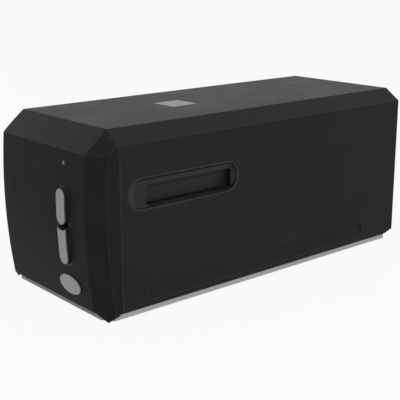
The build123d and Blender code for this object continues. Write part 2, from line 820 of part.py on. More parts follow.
def face_plate(proud):
    """Side outline of a thin plate that follows the bow."""
    with BuildSketch(Plane.YZ) as skin:
        with BuildLine() as edge:
            bow_band(proud)
        make_face(edge.edges())
        with BuildLine() as edge:
            bow_band(proud - PLATE_THICKNESS)
        make_face(edge.edges(), mode=Mode.SUBTRACT)
    return skin


def key_plate(low_z, shoulder_z, crown):
    """Silver plate on a scan key's face, bowed like the face."""
    with BuildPart() as plate:
        with BuildSketch(facing_front(FRONT_Y + KEY_FLANGE_DEPTH)) as outline:
            with BuildLine() as edge:
                key_outline(
                    low_z + PLATE_RIM, shoulder_z, KEY_WIDTH - 2 * PLATE_RIM, crown
                )
            make_face(edge.edges())
        extrude(outline.sketch, amount=2 * KEY_FLANGE_DEPTH)
        extrude(face_plate(KEY_PROUD).sketch, amount=SIDE_X, mode=Mode.INTERSECT)
    return plate


with BuildPart() as button_surround:
    with BuildSketch(facing_front(FRONT_Y + SURROUND_DEPTH)):
        with Locations((KEY_X, SURROUND_Z)):
            SlotOverall(SURROUND_LENGTH, SURROUND_WIDTH, rotation=90)
    extrude(amount=2 * SURROUND_DEPTH)
    with BuildSketch(Plane.YZ):
        with BuildLine():
            bow_band(0)
        make_face()
    extrude(amount=SIDE_X, mode=Mode.INTERSECT)
    with BuildSketch(facing_front(FRONT_Y + SURROUND_DEPTH)):
        with Locations((KEY_X, SURROUND_Z)):
            SlotOverall(
                SURROUND_LENGTH - 2 * SURROUND_WALL,
                SURROUND_WIDTH - 2 * SURROUND_WALL,
                rotation=90,
            )
    extrude(amount=2 * SURROUND_DEPTH, mode=Mode.SUBTRACT)
save(button_surround, "button_surround")

UPPER_CROWN = KEY_WIDTH / 2
UPPER_SHOULDER_Z = UPPER_KEY_HIGH_Z - UPPER_CROWN
upper_scan_button = scan_key(UPPER_KEY_LOW_Z, UPPER_SHOULDER_Z, UPPER_CROWN)
save(upper_scan_button, "upper_scan_button")
upper_button_plate = key_plate(UPPER_KEY_LOW_Z, UPPER_SHOULDER_Z, UPPER_CROWN - PLATE_RIM)
save(upper_button_plate, "upper_button_plate")
lower_scan_button = scan_key(LOWER_KEY_LOW_Z, LOWER_KEY_HIGH_Z, -LOWER_KEY_HOLLOW)
save(lower_scan_button, "lower_scan_button")
lower_button_plate = key_plate(
    LOWER_KEY_LOW_Z, LOWER_KEY_HIGH_Z - PLATE_RIM, -LOWER_KEY_HOLLOW
)
save(lower_button_plate, "lower_button_plate")

with BuildPart() as power_button:
    with BuildSketch(facing_front(FRONT_Y + POWER_FLANGE_DEPTH)):
        with Locations((POWER_X, POWER_Z)):
            Ellipse(POWER_HALF_WIDTH, POWER_HALF_HEIGHT)
    extrude(amount=2 * POWER_FLANGE_DEPTH)
    with BuildSketch(Plane.YZ):
        with BuildLine():
            bow_band(POWER_PROUD - PLATE_THICKNESS)
        make_face()
    extrude(amount=SIDE_X, mode=Mode.INTERSECT)
    with BuildSketch(facing_front(FRONT_Y + POWER_FLANGE_DEPTH + FLANGE_THICKNESS)):
        with Locations((POWER_X, POWER_Z)):
            Ellipse(POWER_HALF_WIDTH + FLANGE_THICKNESS, POWER_HALF_HEIGHT + FLANGE_THICKNESS)
    extrude(amount=FLANGE_THICKNESS)
save(power_button, "power_button")

with BuildPart() as power_button_plate:
    with BuildSketch(facing_front(FRONT_Y + POWER_FLANGE_DEPTH)):
        with Locations((POWER_X, POWER_Z)):
            Ellipse(POWER_HALF_WIDTH - PLATE_RIM, POWER_HALF_HEIGHT - PLATE_RIM)
    extrude(amount=2 * POWER_FLANGE_DEPTH)
    extrude(face_plate(POWER_PROUD).sketch, amount=SIDE_X, mode=Mode.INTERSECT)
save(power_button_plate, "power_button_plate")

with BuildPart() as power_lamp_lens:
    lens_front_y = bow_y(LAMP_Z)
    lens_rear_y = FRONT_Y + LENS_DEPTH
    wall_rear_y = bow_y(LAMP_Z + 2 * LAMP_RADIUS) + BEZEL_WALL + SEAT
    rod_y(LAMP_RADIUS, lens_front_y, lens_rear_y, KEY_X, LAMP_Z)
    rod_y(2 * LAMP_RADIUS, wall_rear_y, lens_rear_y, KEY_X, LAMP_Z)
save(power_lamp_lens, "power_lamp_lens")

with BuildPart() as button_board:
    block(
        (BUTTON_BOARD_X - BUTTON_BOARD_WIDTH / 2, BUTTON_BOARD_FRONT_Y, BUTTON_BOARD_LOW_Z),
        (BUTTON_BOARD_X + BUTTON_BOARD_WIDTH / 2, BUTTON_BOARD_REAR_Y, BUTTON_BOARD_HIGH_Z),
    )
    for hole_x, hole_z in BOARD_POSTS:
        rod_y(
            SCREW_RADIUS + SEAT,
            BUTTON_BOARD_FRONT_Y,
            BUTTON_BOARD_REAR_Y,
            hole_x,
            hole_z,
            mode=Mode.SUBTRACT,
        )
save(button_board, "button_board")

SCAN_PLUNGER_Y = FRONT_Y + KEY_FLANGE_DEPTH + FLANGE_THICKNESS + KEY_TRAVEL + SEAT
POWER_PLUNGER_Y = FRONT_Y + POWER_FLANGE_DEPTH + FLANGE_THICKNESS + POWER_TRAVEL + SEAT
SWITCH_PLACES = (
    (KEY_X, (UPPER_KEY_LOW_Z + UPPER_KEY_HIGH_Z) / 2, SCAN_PLUNGER_Y),
    (KEY_X, (LOWER_KEY_LOW_Z + LOWER_KEY_HIGH_Z) / 2, SCAN_PLUNGER_Y),
    (POWER_X, POWER_Z, POWER_PLUNGER_Y),
)
with BuildPart() as tact_switches:
    for switch_x, switch_z, plunger_y in SWITCH_PLACES:
        block(
            (switch_x - SWITCH_SIZE / 2, plunger_y + PLUNGER_HEIGHT, switch_z - SWITCH_SIZE / 2),
            (switch_x + SWITCH_SIZE / 2, BUTTON_BOARD_FRONT_Y, switch_z + SWITCH_SIZE / 2),
        )
        rod_y(PLUNGER_RADIUS, plunger_y, plunger_y + PLUNGER_HEIGHT, switch_x, switch_z)
save(tact_switches, "tact_switches")

with BuildPart() as power_lamp:
    block(
        (KEY_X - CHIP_LAMP, BUTTON_BOARD_FRONT_Y - CHIP_LAMP, LAMP_Z - CHIP_LAMP / 2),
        (KEY_X + CHIP_LAMP, BUTTON_BOARD_FRONT_Y, LAMP_Z + CHIP_LAMP / 2),
    )
save(power_lamp, "power_lamp")


# ---- rear panel, base tray and feet ----

with BuildPart() as rear_panel:
    with BuildSketch(facing_front(PANEL_REAR_Y)):
        with BuildLine():
            housing_profile(WALL + SEAT, TRAY_HIGH_Z + SEAT)
        make_face()
        with Locations((USB_X, MAIN_BOARD_TOP_Z + USB_HEIGHT / 2)):
            Rectangle(USB_WIDTH + 2 * SEAT, USB_HEIGHT + 2 * SEAT, mode=Mode.SUBTRACT)
        with Locations((POWER_INLET_X, MAIN_BOARD_TOP_Z + POWER_INLET_HEIGHT / 2)):
            Rectangle(
                POWER_INLET_WIDTH + 2 * SEAT, POWER_INLET_HEIGHT + 2 * SEAT, mode=Mode.SUBTRACT
            )
        for side in (-1, 1):
            with Locations(
                (side * PANEL_SCREW_LOW_X, PANEL_SCREW_LOW_Z),
                (side * PANEL_SCREW_HIGH_X, PANEL_SCREW_HIGH_Z),
            ):
                Circle(SCREW_RADIUS + SEAT, mode=Mode.SUBTRACT)
    extrude(amount=PANEL_THICKNESS)
save(rear_panel, "rear_panel")

PANEL_SCREW_PLACES = [
    (side * x, z)
    for side in (-1, 1)
    for x, z in (
        (PANEL_SCREW_LOW_X, PANEL_SCREW_LOW_Z),
        (PANEL_SCREW_HIGH_X, PANEL_SCREW_HIGH_Z),
    )
]
# this plane looks to the back, so its own X runs the other way
rear_screw_plane = Plane(origin=(0, PANEL_REAR_Y, 0), x_dir=(-1, 0, 0), z_dir=(0, 1, 0))
rear_panel_screws = screws(rear_screw_plane, PANEL_SCREW_PLACES, SCREW_LENGTH)
save(rear_panel_screws, "rear_panel_screws")

with BuildPart() as base_tray:
    with BuildSketch(Plane.XY.offset(TRAY_LOW_Z)):
        with BuildLine():
            tray_outline(0, TRAY_REAR_Y)
        make_face()
    extrude(amount=TRAY_HIGH_Z - TRAY_LOW_Z)
    with BuildSketch(Plane.XY.offset(TRAY_FLOOR_Z)):
        with BuildLine():
            tray_outline(-TRAY_WALL, TRAY_REAR_Y - TRAY_WALL)
        make_face()
    extrude(amount=TRAY_HIGH_Z, mode=Mode.SUBTRACT)
    for side in (-1, 1):
        for screw_y in CHASSIS_SCREW_YS:
            screw_x = side * CHASSIS_SCREW_X
            rod_z(TRAY_POST_RADIUS, TRAY_FLOOR_Z, CHASSIS_LOW_Z, screw_x, screw_y)
            rod_z(
                SCREW_RADIUS + SEAT,
                TRAY_LOW_Z + SCREW_SKIN,
                CHASSIS_LOW_Z,
                screw_x,
                screw_y,
                mode=Mode.SUBTRACT,
            )
        for end in (-1, 1):
            boss_x = side * TRAY_SCREW_X
            boss_y = end * FOOT_Y
            rod_z(TRAY_POST_RADIUS, TRAY_FLOOR_Z, BOSS_LOW_Z, boss_x, boss_y)
            rod_z(
                SCREW_HEAD_RADIUS + SEAT,
                TRAY_LOW_Z,
                TRAY_SCREW_HEAD_Z,
                boss_x,
                boss_y,
                mode=Mode.SUBTRACT,
            )
            rod_z(
                SCREW_RADIUS + SEAT,
                TRAY_LOW_Z,
                BOSS_LOW_Z,
                boss_x,
                boss_y,
                mode=Mode.SUBTRACT,
            )
            rod_z(
                FOOT_RADIUS + SEAT,
                TRAY_LOW_Z,
                FOOT_HEIGHT,
                side * FOOT_X,
                boss_y,
                mode=Mode.SUBTRACT,
            )
save(base_tray, "base_tray")

foot_places = [(side * FOOT_X, end * FOOT_Y) for side in (-1, 1) for end in (-1, 1)]
with BuildPart() as rubber_feet:
    with BuildSketch(Plane.XY):
        with Locations(foot_places):
            Circle(FOOT_RADIUS)
    extrude(amount=FOOT_HEIGHT)
save(rubber_feet, "rubber_feet")

# heads look down, so the plane's normal is -Z
tray_screw_plane = Plane(origin=(0, 0, TRAY_SCREW_HEAD_Z), x_dir=(1, 0, 0), z_dir=(0, 0, -1))
tray_screw_places = [(side * TRAY_SCREW_X, end * FOOT_Y) for side in (-1, 1) for end in (-1, 1)]
tray_screws = screws(tray_screw_plane, tray_screw_places, SCREW_LENGTH)
save(tray_screws, "tray_screws")


# ---- slot frame, dust door, its pin and its spring ----

def pill(length, height, offset_x, y, z):
    """Pill-shaped sketch on a plane across X."""
    with BuildSketch(Plane.YZ.offset(offset_x)) as outline:
        with Locations((y, z)):
            SlotOverall(length, height)
    return outline.sketch


def scoop_section(share, depth):
    """Section of the scooped mouth: 0 is the outer pill, 1 the rectangular way."""
    length = MOUTH_LENGTH - 2 * MOUTH_RIM
    height = MOUTH_HEIGHT - 2 * MOUTH_RIM
    corner = height / 2 - GAP
    with BuildSketch(Plane.YZ.offset(SIDE_X - depth)) as section:
        with Locations(
            (
                MOUTH_Y + share * (SLOT_Y - MOUTH_Y),
                MOUTH_Z + share * (SLOT_MID_Z - MOUTH_Z),
            )
        ):
            RectangleRounded(
                length + share * (SLOT_WIDTH - length),
                height + share * (SLOT_HEIGHT - height),
                corner + share * (SLOT_CORNER - corner),
            )
    return section.sketch


tunnel_low = (SLOT_FRONT_Y - TUNNEL_WALL, SLOT_LOW_Z - TUNNEL_WALL)
tunnel_high = (SLOT_BACK_Y + TUNNEL_WALL, SLOT_HIGH_Z + TUNNEL_WALL)
scoop_floor_x = SIDE_X - SCOOP_DEPTH

with BuildPart() as right_slot_frame:
    extrude(pill(MOUTH_LENGTH, MOUTH_HEIGHT, INNER_X, MOUTH_Y, MOUTH_Z), amount=WALL)
    flange_length = MOUTH_LENGTH + 2 * MOUTH_FLANGE
    flange_height = MOUTH_HEIGHT + 2 * MOUTH_FLANGE
    extrude(pill(flange_length, flange_height, INNER_X, MOUTH_Y, MOUTH_Z), amount=-WALL)
    block((TUNNEL_END_X, *tunnel_low), (INNER_X, *tunnel_high))
    loft(
        [
            scoop_section(0, 0),
            scoop_section(SCOOP_MID_SHARE, SCOOP_MID_DEPTH),
            scoop_section(1, SCOOP_DEPTH),
        ],
        ruled=True,
        mode=Mode.SUBTRACT,
    )
    block(
        (TUNNEL_END_X - 1, SLOT_FRONT_Y, SLOT_LOW_Z),
        (scoop_floor_x, SLOT_BACK_Y, SLOT_HIGH_Z),
        mode=Mode.SUBTRACT,
    )
    rod_y(
        PIN_RADIUS + RUN,
        tunnel_low[0] - 1,
        tunnel_high[0] + 1,
        DOOR_X,
        DOOR_Z,
        mode=Mode.SUBTRACT,
    )
save(right_slot_frame, "right_slot_frame")
save_mirrored(right_slot_frame, "left_slot_frame")

with BuildPart() as right_dust_door:
    door_front_y = SLOT_FRONT_Y + DOOR_GAP
    door_back_y = SLOT_BACK_Y - DOOR_GAP
    block(
        (DOOR_X - DOOR_THICKNESS / 2, door_front_y, DOOR_LOW_Z),
        (DOOR_X + DOOR_THICKNESS / 2, door_back_y, DOOR_Z),
    )
    rod_y(KNUCKLE_RADIUS, door_front_y, door_back_y, DOOR_X, DOOR_Z)
    rod_y(PIN_RADIUS + RUN, door_front_y, door_back_y, DOOR_X, DOOR_Z, mode=Mode.SUBTRACT)
save(right_dust_door, "right_dust_door")
save_mirrored(right_dust_door, "left_dust_door")

with BuildPart() as right_door_pin:
    rod_y(
        PIN_RADIUS,
        tunnel_low[0] - PIN_FRONT_END,
        tunnel_high[0] + PIN_REAR_END,
        DOOR_X,
        DOOR_Z,
    )
save(right_door_pin, "right_door_pin")
save_mirrored(right_door_pin, "left_door_pin")

with BuildPart() as right_door_spring:
    spring_front_y = tunnel_high[0]
    rod_y(SPRING_RADIUS, spring_front_y, spring_front_y + SPRING_LENGTH, DOOR_X, DOOR_Z)
    rod_y(
        SPRING_BORE,
        spring_front_y,
        spring_front_y + SPRING_LENGTH,
        DOOR_X,
        DOOR_Z,
        mode=Mode.SUBTRACT,
    )
save(right_door_spring, "right_door_spring")
save_mirrored(right_door_spring, "left_door_spring")


# ---- chassis and guide rods ----

with BuildPart() as chassis_frame:
    block((-CHASSIS_X, SEAM_Y, CHASSIS_LOW_Z), (CHASSIS_X, CHASSIS_REAR_Y, CHASSIS_FLOOR_Z))
    for side in (-1, 1):
        with BuildSketch(Plane.YZ.offset(side * CHASSIS_X)):
            with BuildLine():
                Polyline(
                    (SEAM_Y, CHASSIS_FLOOR_Z),
                    (SEAM_Y, CHASSIS_HIGH_Z),
                    (CHEEK_STEP_Y, CHASSIS_HIGH_Z),
                    (CHEEK_STEP_Y + CHASSIS_HIGH_Z - CHEEK_REAR_Z, CHEEK_REAR_Z),
                    (CHEEK_REAR_Y, CHEEK_REAR_Z),
                    (CHEEK_REAR_Y, CHASSIS_FLOOR_Z),
                    close=True,
                )
            make_face()
        extrude(amount=-side * SHEET)
        ear_low_x, ear_high_x = sorted((side * EAR_IN_X, side * CHASSIS_X))
        block(
            (ear_low_x, SEAM_Y, CHASSIS_FLOOR_Z),
            (ear_high_x, SEAM_Y + SHEET, CHASSIS_HIGH_Z),
        )
        for hole_z in (POST_LOW_Z, POST_HIGH_Z):
            rod_y(
                SCREW_RADIUS + SEAT,
                SEAM_Y,
                SEAM_Y + SHEET,
                side * POST_X,
                hole_z,
                mode=Mode.SUBTRACT,
            )
        for screw_y in CHASSIS_SCREW_YS:
            rod_z(
                SCREW_RADIUS + SEAT,
                CHASSIS_LOW_Z,
                CHASSIS_FLOOR_Z,
                side * CHASSIS_SCREW_X,
                screw_y,
                mode=Mode.SUBTRACT,
            )
        for standoff_y in MAIN_BOARD_SCREW_YS:
            standoff_x = side * MAIN_BOARD_SCREW_X
            rod_z(STANDOFF_RADIUS, CHASSIS_FLOOR_Z, MAIN_BOARD_Z, standoff_x, standoff_y)
            rod_z(
                SCREW_RADIUS + SEAT,
                CHASSIS_LOW_Z,
                MAIN_BOARD_Z,
                standoff_x,
                standoff_y,
                mode=Mode.SUBTRACT,
            )
    for rod_place_y in (FRONT_ROD_Y, REAR_ROD_Y):
        rod_x(
            ROD_RADIUS + RUN,
            -CHASSIS_X,
            CHASSIS_X,
            rod_place_y,
            ROD_Z,
            mode=Mode.SUBTRACT,
        )
save(chassis_frame, "chassis_frame")

for rod_name, rod_place_y in (
    ("front_guide_rod", FRONT_ROD_Y),
    ("rear_guide_rod", REAR_ROD_Y),
):
    with BuildPart() as guide_rod:
        rod_x(ROD_RADIUS, -CHASSIS_X, CHASSIS_X, rod_place_y, ROD_Z)
    save(guide_rod, rod_name)

# bezel, chassis and board screws
bezel_screw_plane = Plane(origin=(0, SEAM_Y + SHEET, 0), x_dir=(-1, 0, 0), z_dir=(0, 1, 0))
bezel_screw_places = [
    (side * POST_X, z) for side in (-1, 1) for z in (POST_LOW_Z, POST_HIGH_Z)
]
bezel_screws = screws(bezel_screw_plane, bezel_screw_places, SCREW_LENGTH)
save(bezel_screws, "bezel_screws")

chassis_screw_places = [(side * CHASSIS_SCREW_X, y) for side in (-1, 1) for y in CHASSIS_SCREW_YS]
chassis_screw_length = CHASSIS_FLOOR_Z - TRAY_LOW_Z - 2 * SCREW_SKIN
chassis_screws = screws(
    Plane.XY.offset(CHASSIS_FLOOR_Z), chassis_screw_places, chassis_screw_length
)
save(chassis_screws, "chassis_screws")

# one set of board screws holds the button board and the main board
button_board_places = [(-x, z) for x, z in BOARD_POSTS]
board_rear = Plane(origin=(0, BUTTON_BOARD_REAR_Y, 0), x_dir=(-1, 0, 0), z_dir=(0, 1, 0))
button_board_screws = screws(board_rear, button_board_places, SCREW_LENGTH)
main_board_places = [
    (side * MAIN_BOARD_SCREW_X, y) for side in (-1, 1) for y in MAIN_BOARD_SCREW_YS
]
main_board_screw_length = MAIN_BOARD_TOP_Z - CHASSIS_LOW_Z
main_board_screws = screws(
    Plane.XY.offset(MAIN_BOARD_TOP_Z), main_board_places, main_board_screw_length
)
with BuildPart() as board_screws:
    add(button_board_screws.part)
    add(main_board_screws.part)
save(board_screws, "board_screws")


# ---- film track and lamp ----

track_front_y = SLOT_FRONT_Y - TRACK_RAIL
track_back_y = SLOT_BACK_Y + TRACK_RAIL
window_low = (-WINDOW_X / 2, SLOT_Y - WINDOW_Y / 2)
window_high = (WINDOW_X / 2, SLOT_Y + WINDOW_Y / 2)

with BuildPart() as film_track:
    block((-CHASSIS_X, track_front_y, CHASSIS_HIGH_Z), (CHASSIS_X, track_back_y, TRACK_PLATE_Z))
    block((-TRACK_X, track_front_y, TRACK_PLATE_Z), (TRACK_X, track_back_y, SLOT_LOW_Z))
    block(
        (-TRACK_X, track_front_y, SLOT_LOW_Z),
        (TRACK_X, SLOT_FRONT_Y - TRACK_CLEAR, SLOT_HIGH_Z),
    )
    block(
        (-TRACK_X, SLOT_BACK_Y + TRACK_CLEAR, SLOT_LOW_Z),
        (TRACK_X, track_back_y, SLOT_HIGH_Z),
    )
    block((*window_low, CHASSIS_HIGH_Z), (*window_high, SLOT_LOW_Z), mode=Mode.SUBTRACT)
save(film_track, "film_track")

with BuildPart() as upper_film_guide:
    block((-TRACK_X, track_front_y, SLOT_HIGH_Z), (TRACK_X, track_back_y, GUIDE_HIGH_Z))
    block((*window_low, SLOT_HIGH_Z), (*window_high, GUIDE_HIGH_Z), mode=Mode.SUBTRACT)
save(upper_film_guide, "upper_film_guide")

lamp_low = (-LAMP_BOX_X / 2, SLOT_Y - LAMP_BOX_Y / 2)
lamp_high = (LAMP_BOX_X / 2, SLOT_Y + LAMP_BOX_Y / 2)
with BuildPart() as lamp_housing:
    with BuildSketch(Plane.XY.offset(GUIDE_HIGH_Z)):
        with Locations((0, SLOT_Y)):
            Rectangle(LAMP_BOX_X, LAMP_BOX_Y)
            Rectangle(LAMP_BOX_X - 2 * WALL, LAMP_BOX_Y - 2 * WALL, mode=Mode.SUBTRACT)
    extrude(amount=LAMP_BOX_HIGH_Z - GUIDE_HIGH_Z)
save(lamp_housing, "lamp_housing")

with BuildPart() as lamp_board:
    block((*lamp_low, LAMP_BOX_HIGH_Z), (*lamp_high, LAMP_BOX_HIGH_Z + BOARD_THICKNESS))
    with BuildSketch(Plane.XY.offset(LAMP_BOX_HIGH_Z)):
        with Locations((0, SLOT_Y)):
            with GridLocations(LAMP_PITCH, LAMP_PITCH, LAMP_COLUMNS, LAMP_ROWS):
                Rectangle(LAMP_CHIP, LAMP_CHIP)
    extrude(amount=-LAMP_CHIP_HEIGHT)
save(lamp_board, "lamp_board")

with BuildPart() as lamp_diffuser:
    block(
        (window_low[0] - DIFFUSER_MARGIN, window_low[1] - DIFFUSER_MARGIN, GUIDE_HIGH_Z),
        (
            window_high[0] + DIFFUSER_MARGIN,
            window_high[1] + DIFFUSER_MARGIN,
            GUIDE_HIGH_Z + DIFFUSER_THICKNESS,
        ),
    )
save(lamp_diffuser, "lamp_diffuser")


# ---- scan carriage at its home place, with the optics it carries ----

carriage_low_x = HOME_X - CARRIAGE_HALF
carriage_high_x = HOME_X + CARRIAGE_HALF
mirror_half = MIRROR_LENGTH / 2 * cos(pi / 4)
mirror_drop = MIRROR_THICKNESS * cos(pi / 4)
mirror_top = (SLOT_Y - mirror_half, AXIS_Z + mirror_half)
mirror_foot = (SLOT_Y + mirror_half, AXIS_Z - mirror_half)

with BuildPart() as scan_carriage:
    block(
        (carriage_low_x, CARRIAGE_FRONT_Y, CARRIAGE_LOW_Z),
        (carriage_high_x, CARRIAGE_REAR_Y, CARRIAGE_HIGH_Z),
    )
    block(
        (
            carriage_low_x + CARRIAGE_WALL,
            CARRIAGE_FRONT_Y + CARRIAGE_WALL,
            CARRIAGE_FLOOR_Z,
        ),
        (carriage_high_x - CARRIAGE_WALL, CARRIAGE_REAR_Y - CARRIAGE_WALL, CARRIAGE_HIGH_Z),
        mode=Mode.SUBTRACT,
    )
    # sloping bed for the mirror
    with BuildSketch(Plane.YZ.offset(HOME_X - MIRROR_WIDTH / 2)):
        with BuildLine():
            Polyline(
                (mirror_top[0] - mirror_drop, mirror_top[1] - mirror_drop),
                (mirror_foot[0] - mirror_drop, mirror_foot[1] - mirror_drop),
                (mirror_foot[0] - mirror_drop, CARRIAGE_FLOOR_Z),
                (mirror_top[0] - mirror_drop, CARRIAGE_FLOOR_Z),
                close=True,
            )
        make_face()
    extrude(amount=MIRROR_WIDTH)
    for rod_place_y in (FRONT_ROD_Y, REAR_ROD_Y):
        rod_x(
            BUSH_RADIUS + RUN,
            carriage_low_x,
            carriage_high_x,
            rod_place_y,
            ROD_Z,
            mode=Mode.SUBTRACT,
        )
    # flag for the home sensor
    block(
        (HOME_FLAG_X - FLAG_X / 2, HOME_FLAG_Y - FLAG_Y / 2, FLAG_LOW_Z),
        (HOME_FLAG_X + FLAG_X / 2, HOME_FLAG_Y + FLAG_Y / 2, CARRIAGE_LOW_Z),
    )
save(scan_carriage, "scan_carriage")

with BuildPart() as carriage_cover:
    block(
        (carriage_low_x, CARRIAGE_FRONT_Y, CARRIAGE_HIGH_Z),
        (carriage_high_x, CARRIAGE_REAR_Y, CARRIAGE_HIGH_Z + COVER_THICKNESS),
    )
    block(
        (HOME_X - SLIT_X / 2, SLOT_Y - SLIT_Y / 2, CARRIAGE_HIGH_Z),
        (HOME_X + SLIT_X / 2, SLOT_Y + SLIT_Y / 2, CARRIAGE_HIGH_Z + COVER_THICKNESS),
        mode=Mode.SUBTRACT,
    )
save(carriage_cover, "carriage_cover")

with BuildPart() as carriage_bushes:
    for rod_place_y in (FRONT_ROD_Y, REAR_ROD_Y):
        for wall_x, outward in ((carriage_low_x, -1), (carriage_high_x, 1)):
            # the sleeve runs through the wall, the flange lies against its inner face
            inner_face_x = wall_x - outward * CARRIAGE_WALL
            flange_x = inner_face_x - outward * BUSH_FLANGE
            rod_x(BUSH_RADIUS, *sorted((wall_x, inner_face_x)), rod_place_y, ROD_Z)
            rod_x(BUSH_FLANGE_RADIUS, *sorted((inner_face_x, flange_x)), rod_place_y, ROD_Z)
        rod_x(
            ROD_RADIUS + RUN,
            carriage_low_x,
            carriage_high_x,
            rod_place_y,
            ROD_Z,
            mode=Mode.SUBTRACT,
        )
save(carriage_bushes, "carriage_bushes")

with BuildPart() as fold_mirror:
    with BuildSketch(Plane.YZ.offset(HOME_X - MIRROR_WIDTH / 2)):
        with BuildLine():
            Polyline(
                mirror_top,
                mirror_foot,
                (mirror_foot[0] - mirror_drop, mirror_foot[1] - mirror_drop),
                (mirror_top[0] - mirror_drop, mirror_top[1] - mirror_drop),
                close=True,
            )
        make_face()
    extrude(amount=MIRROR_WIDTH)
save(fold_mirror, "fold_mirror")

with BuildPart() as lens_holder:
    block(
        (HOME_X - LENS_BLOCK_X / 2, LENS_BLOCK_FRONT_Y, CARRIAGE_FLOOR_Z),
        (HOME_X + LENS_BLOCK_X / 2, LENS_BLOCK_REAR_Y, LENS_BLOCK_HIGH_Z),
    )
    rod_y(
        LENS_RADIUS + RUN,
        LENS_BLOCK_FRONT_Y,
        LENS_BLOCK_REAR_Y,
        HOME_X,
        AXIS_Z,
        mode=Mode.SUBTRACT,
    )
save(lens_holder, "lens_holder")

with BuildPart() as lens_barrel:
    rod_y(LENS_RADIUS, LENS_FRONT_Y, LENS_REAR_Y, HOME_X, AXIS_Z)
    rod_y(LENS_BORE, LENS_FRONT_Y, LENS_REAR_Y, HOME_X, AXIS_Z, mode=Mode.SUBTRACT)
save(lens_barrel, "lens_barrel")

with BuildPart() as lens_elements:
    for glass_y in (LENS_FRONT_Y + GLASS_THICKNESS, LENS_REAR_Y - 2 * GLASS_THICKNESS):
        rod_y(LENS_BORE - RUN, glass_y, glass_y + GLASS_THICKNESS, HOME_X, AXIS_Z)
save(lens_elements, "lens_elements")

with BuildPart() as sensor_board:
    block(
        (HOME_X - SENSOR_BOARD_X / 2, SENSOR_BOARD_Y, SENSOR_BOARD_LOW_Z),
        (HOME_X + SENSOR_BOARD_X / 2, SENSOR_BOARD_Y + BOARD_THICKNESS, SENSOR_BOARD_HIGH_Z),
    )
save(sensor_board, "sensor_board")

with BuildPart() as line_sensor:
    block(
        (HOME_X - SENSOR_X / 2, SENSOR_BOARD_Y - SENSOR_THICKNESS, AXIS_Z - SENSOR_Z / 2),
        (HOME_X + SENSOR_X / 2, SENSOR_BOARD_Y, AXIS_Z + SENSOR_Z / 2),
    )
save(line_sensor, "line_sensor")

with BuildPart() as home_sensor:
    block(
        (
            HOME_FLAG_X - HOME_SENSOR_X / 2,
            HOME_FLAG_Y - HOME_SENSOR_Y / 2,
            CHASSIS_FLOOR_Z,
        ),
        (
            HOME_FLAG_X + HOME_SENSOR_X / 2,
            HOME_FLAG_Y + HOME_SENSOR_Y / 2,
            HOME_SENSOR_HIGH_Z,
        ),
    )
    block(
        (
            HOME_FLAG_X - HOME_SENSOR_X / 2,
            HOME_FLAG_Y - HOME_SENSOR_SLOT / 2,
            FLAG_LOW_Z - 1,
        ),
        (
            HOME_FLAG_X + HOME_SENSOR_X / 2,
            HOME_FLAG_Y + HOME_SENSOR_SLOT / 2,
            HOME_SENSOR_HIGH_Z,
        ),
        mode=Mode.SUBTRACT,
    )
save(home_sensor, "home_sensor")


# ---- drive: motor, gears, pulleys, belt and clamp ----

def involute(angle):
    """Involute function of a pressure angle in radians."""
    return tan(angle) - angle


def tooth_half_angle(radius, teeth):
    """Half of a tooth's angle at the given radius, in radians."""
    pitch_radius = MODULE * teeth / 2
    base_radius = pitch_radius * cos(radians(PRESSURE_ANGLE))
    at_pitch = pi / (2 * teeth) - TOOTH_SLACK / pitch_radius
    here = acos(min(1.0, base_radius / radius))
    return at_pitch + involute(radians(PRESSURE_ANGLE)) - involute(here)


def gear_outline(teeth, addendum, centre_x, centre_z, start):
    """Closed outline of a gear whose first tooth points along start, in degrees."""
    pitch_radius = MODULE * teeth / 2
    radii = (
        pitch_radius - DEDENDUM * MODULE,
        pitch_radius,
        pitch_radius + addendum * MODULE / 2,
        pitch_radius + addendum * MODULE,
    )
    points = []
    for tooth in range(teeth):
        middle = radians(start) + tooth * 2 * pi / teeth
        flanks = [(radius, -tooth_half_angle(radius, teeth)) for radius in radii]
        flanks += [(radius, tooth_half_angle(radius, teeth)) for radius in reversed(radii)]
        for radius, swing in flanks:
            angle = middle + swing
            points.append((centre_x + radius * cos(angle), centre_z + radius * sin(angle)))
    Polyline(*points, close=True)


GEAR_REAR_Y = GEAR_FRONT_Y + GEAR_THICKNESS
CENTRE_DISTANCE = MODULE * (WHEEL_TEETH + PINION_TEETH) / 2
MOTOR_X = -PULLEY_X + CENTRE_DISTANCE * cos(radians(GEAR_ANGLE))
MOTOR_Z = PULLEY_Z + CENTRE_DISTANCE * sin(radians(GEAR_ANGLE))
BELT_FRONT_Y = BELT_Y - BELT_WIDTH / 2
BELT_REAR_Y = BELT_Y + BELT_WIDTH / 2
PULLEY_FRONT_Y = BELT_FRONT_Y - BELT_SIDE_GAP - PULLEY_FLANGE
PULLEY_REAR_Y = BELT_REAR_Y + BELT_SIDE_GAP + PULLEY_FLANGE
BRACKET_REAR_Y = BRACKET_Y + SHEET


def pulley_body(x):
    """Pulley drum with its two flanges, without the bore."""
    rod_y(PULLEY_RADIUS, PULLEY_FRONT_Y, PULLEY_REAR_Y, x, PULLEY_Z)
    rod_y(PULLEY_FLANGE_RADIUS, PULLEY_FRONT_Y, PULLEY_FRONT_Y + PULLEY_FLANGE, x, PULLEY_Z)
    rod_y(PULLEY_FLANGE_RADIUS, PULLEY_REAR_Y - PULLEY_FLANGE, PULLEY_REAR_Y, x, PULLEY_Z)


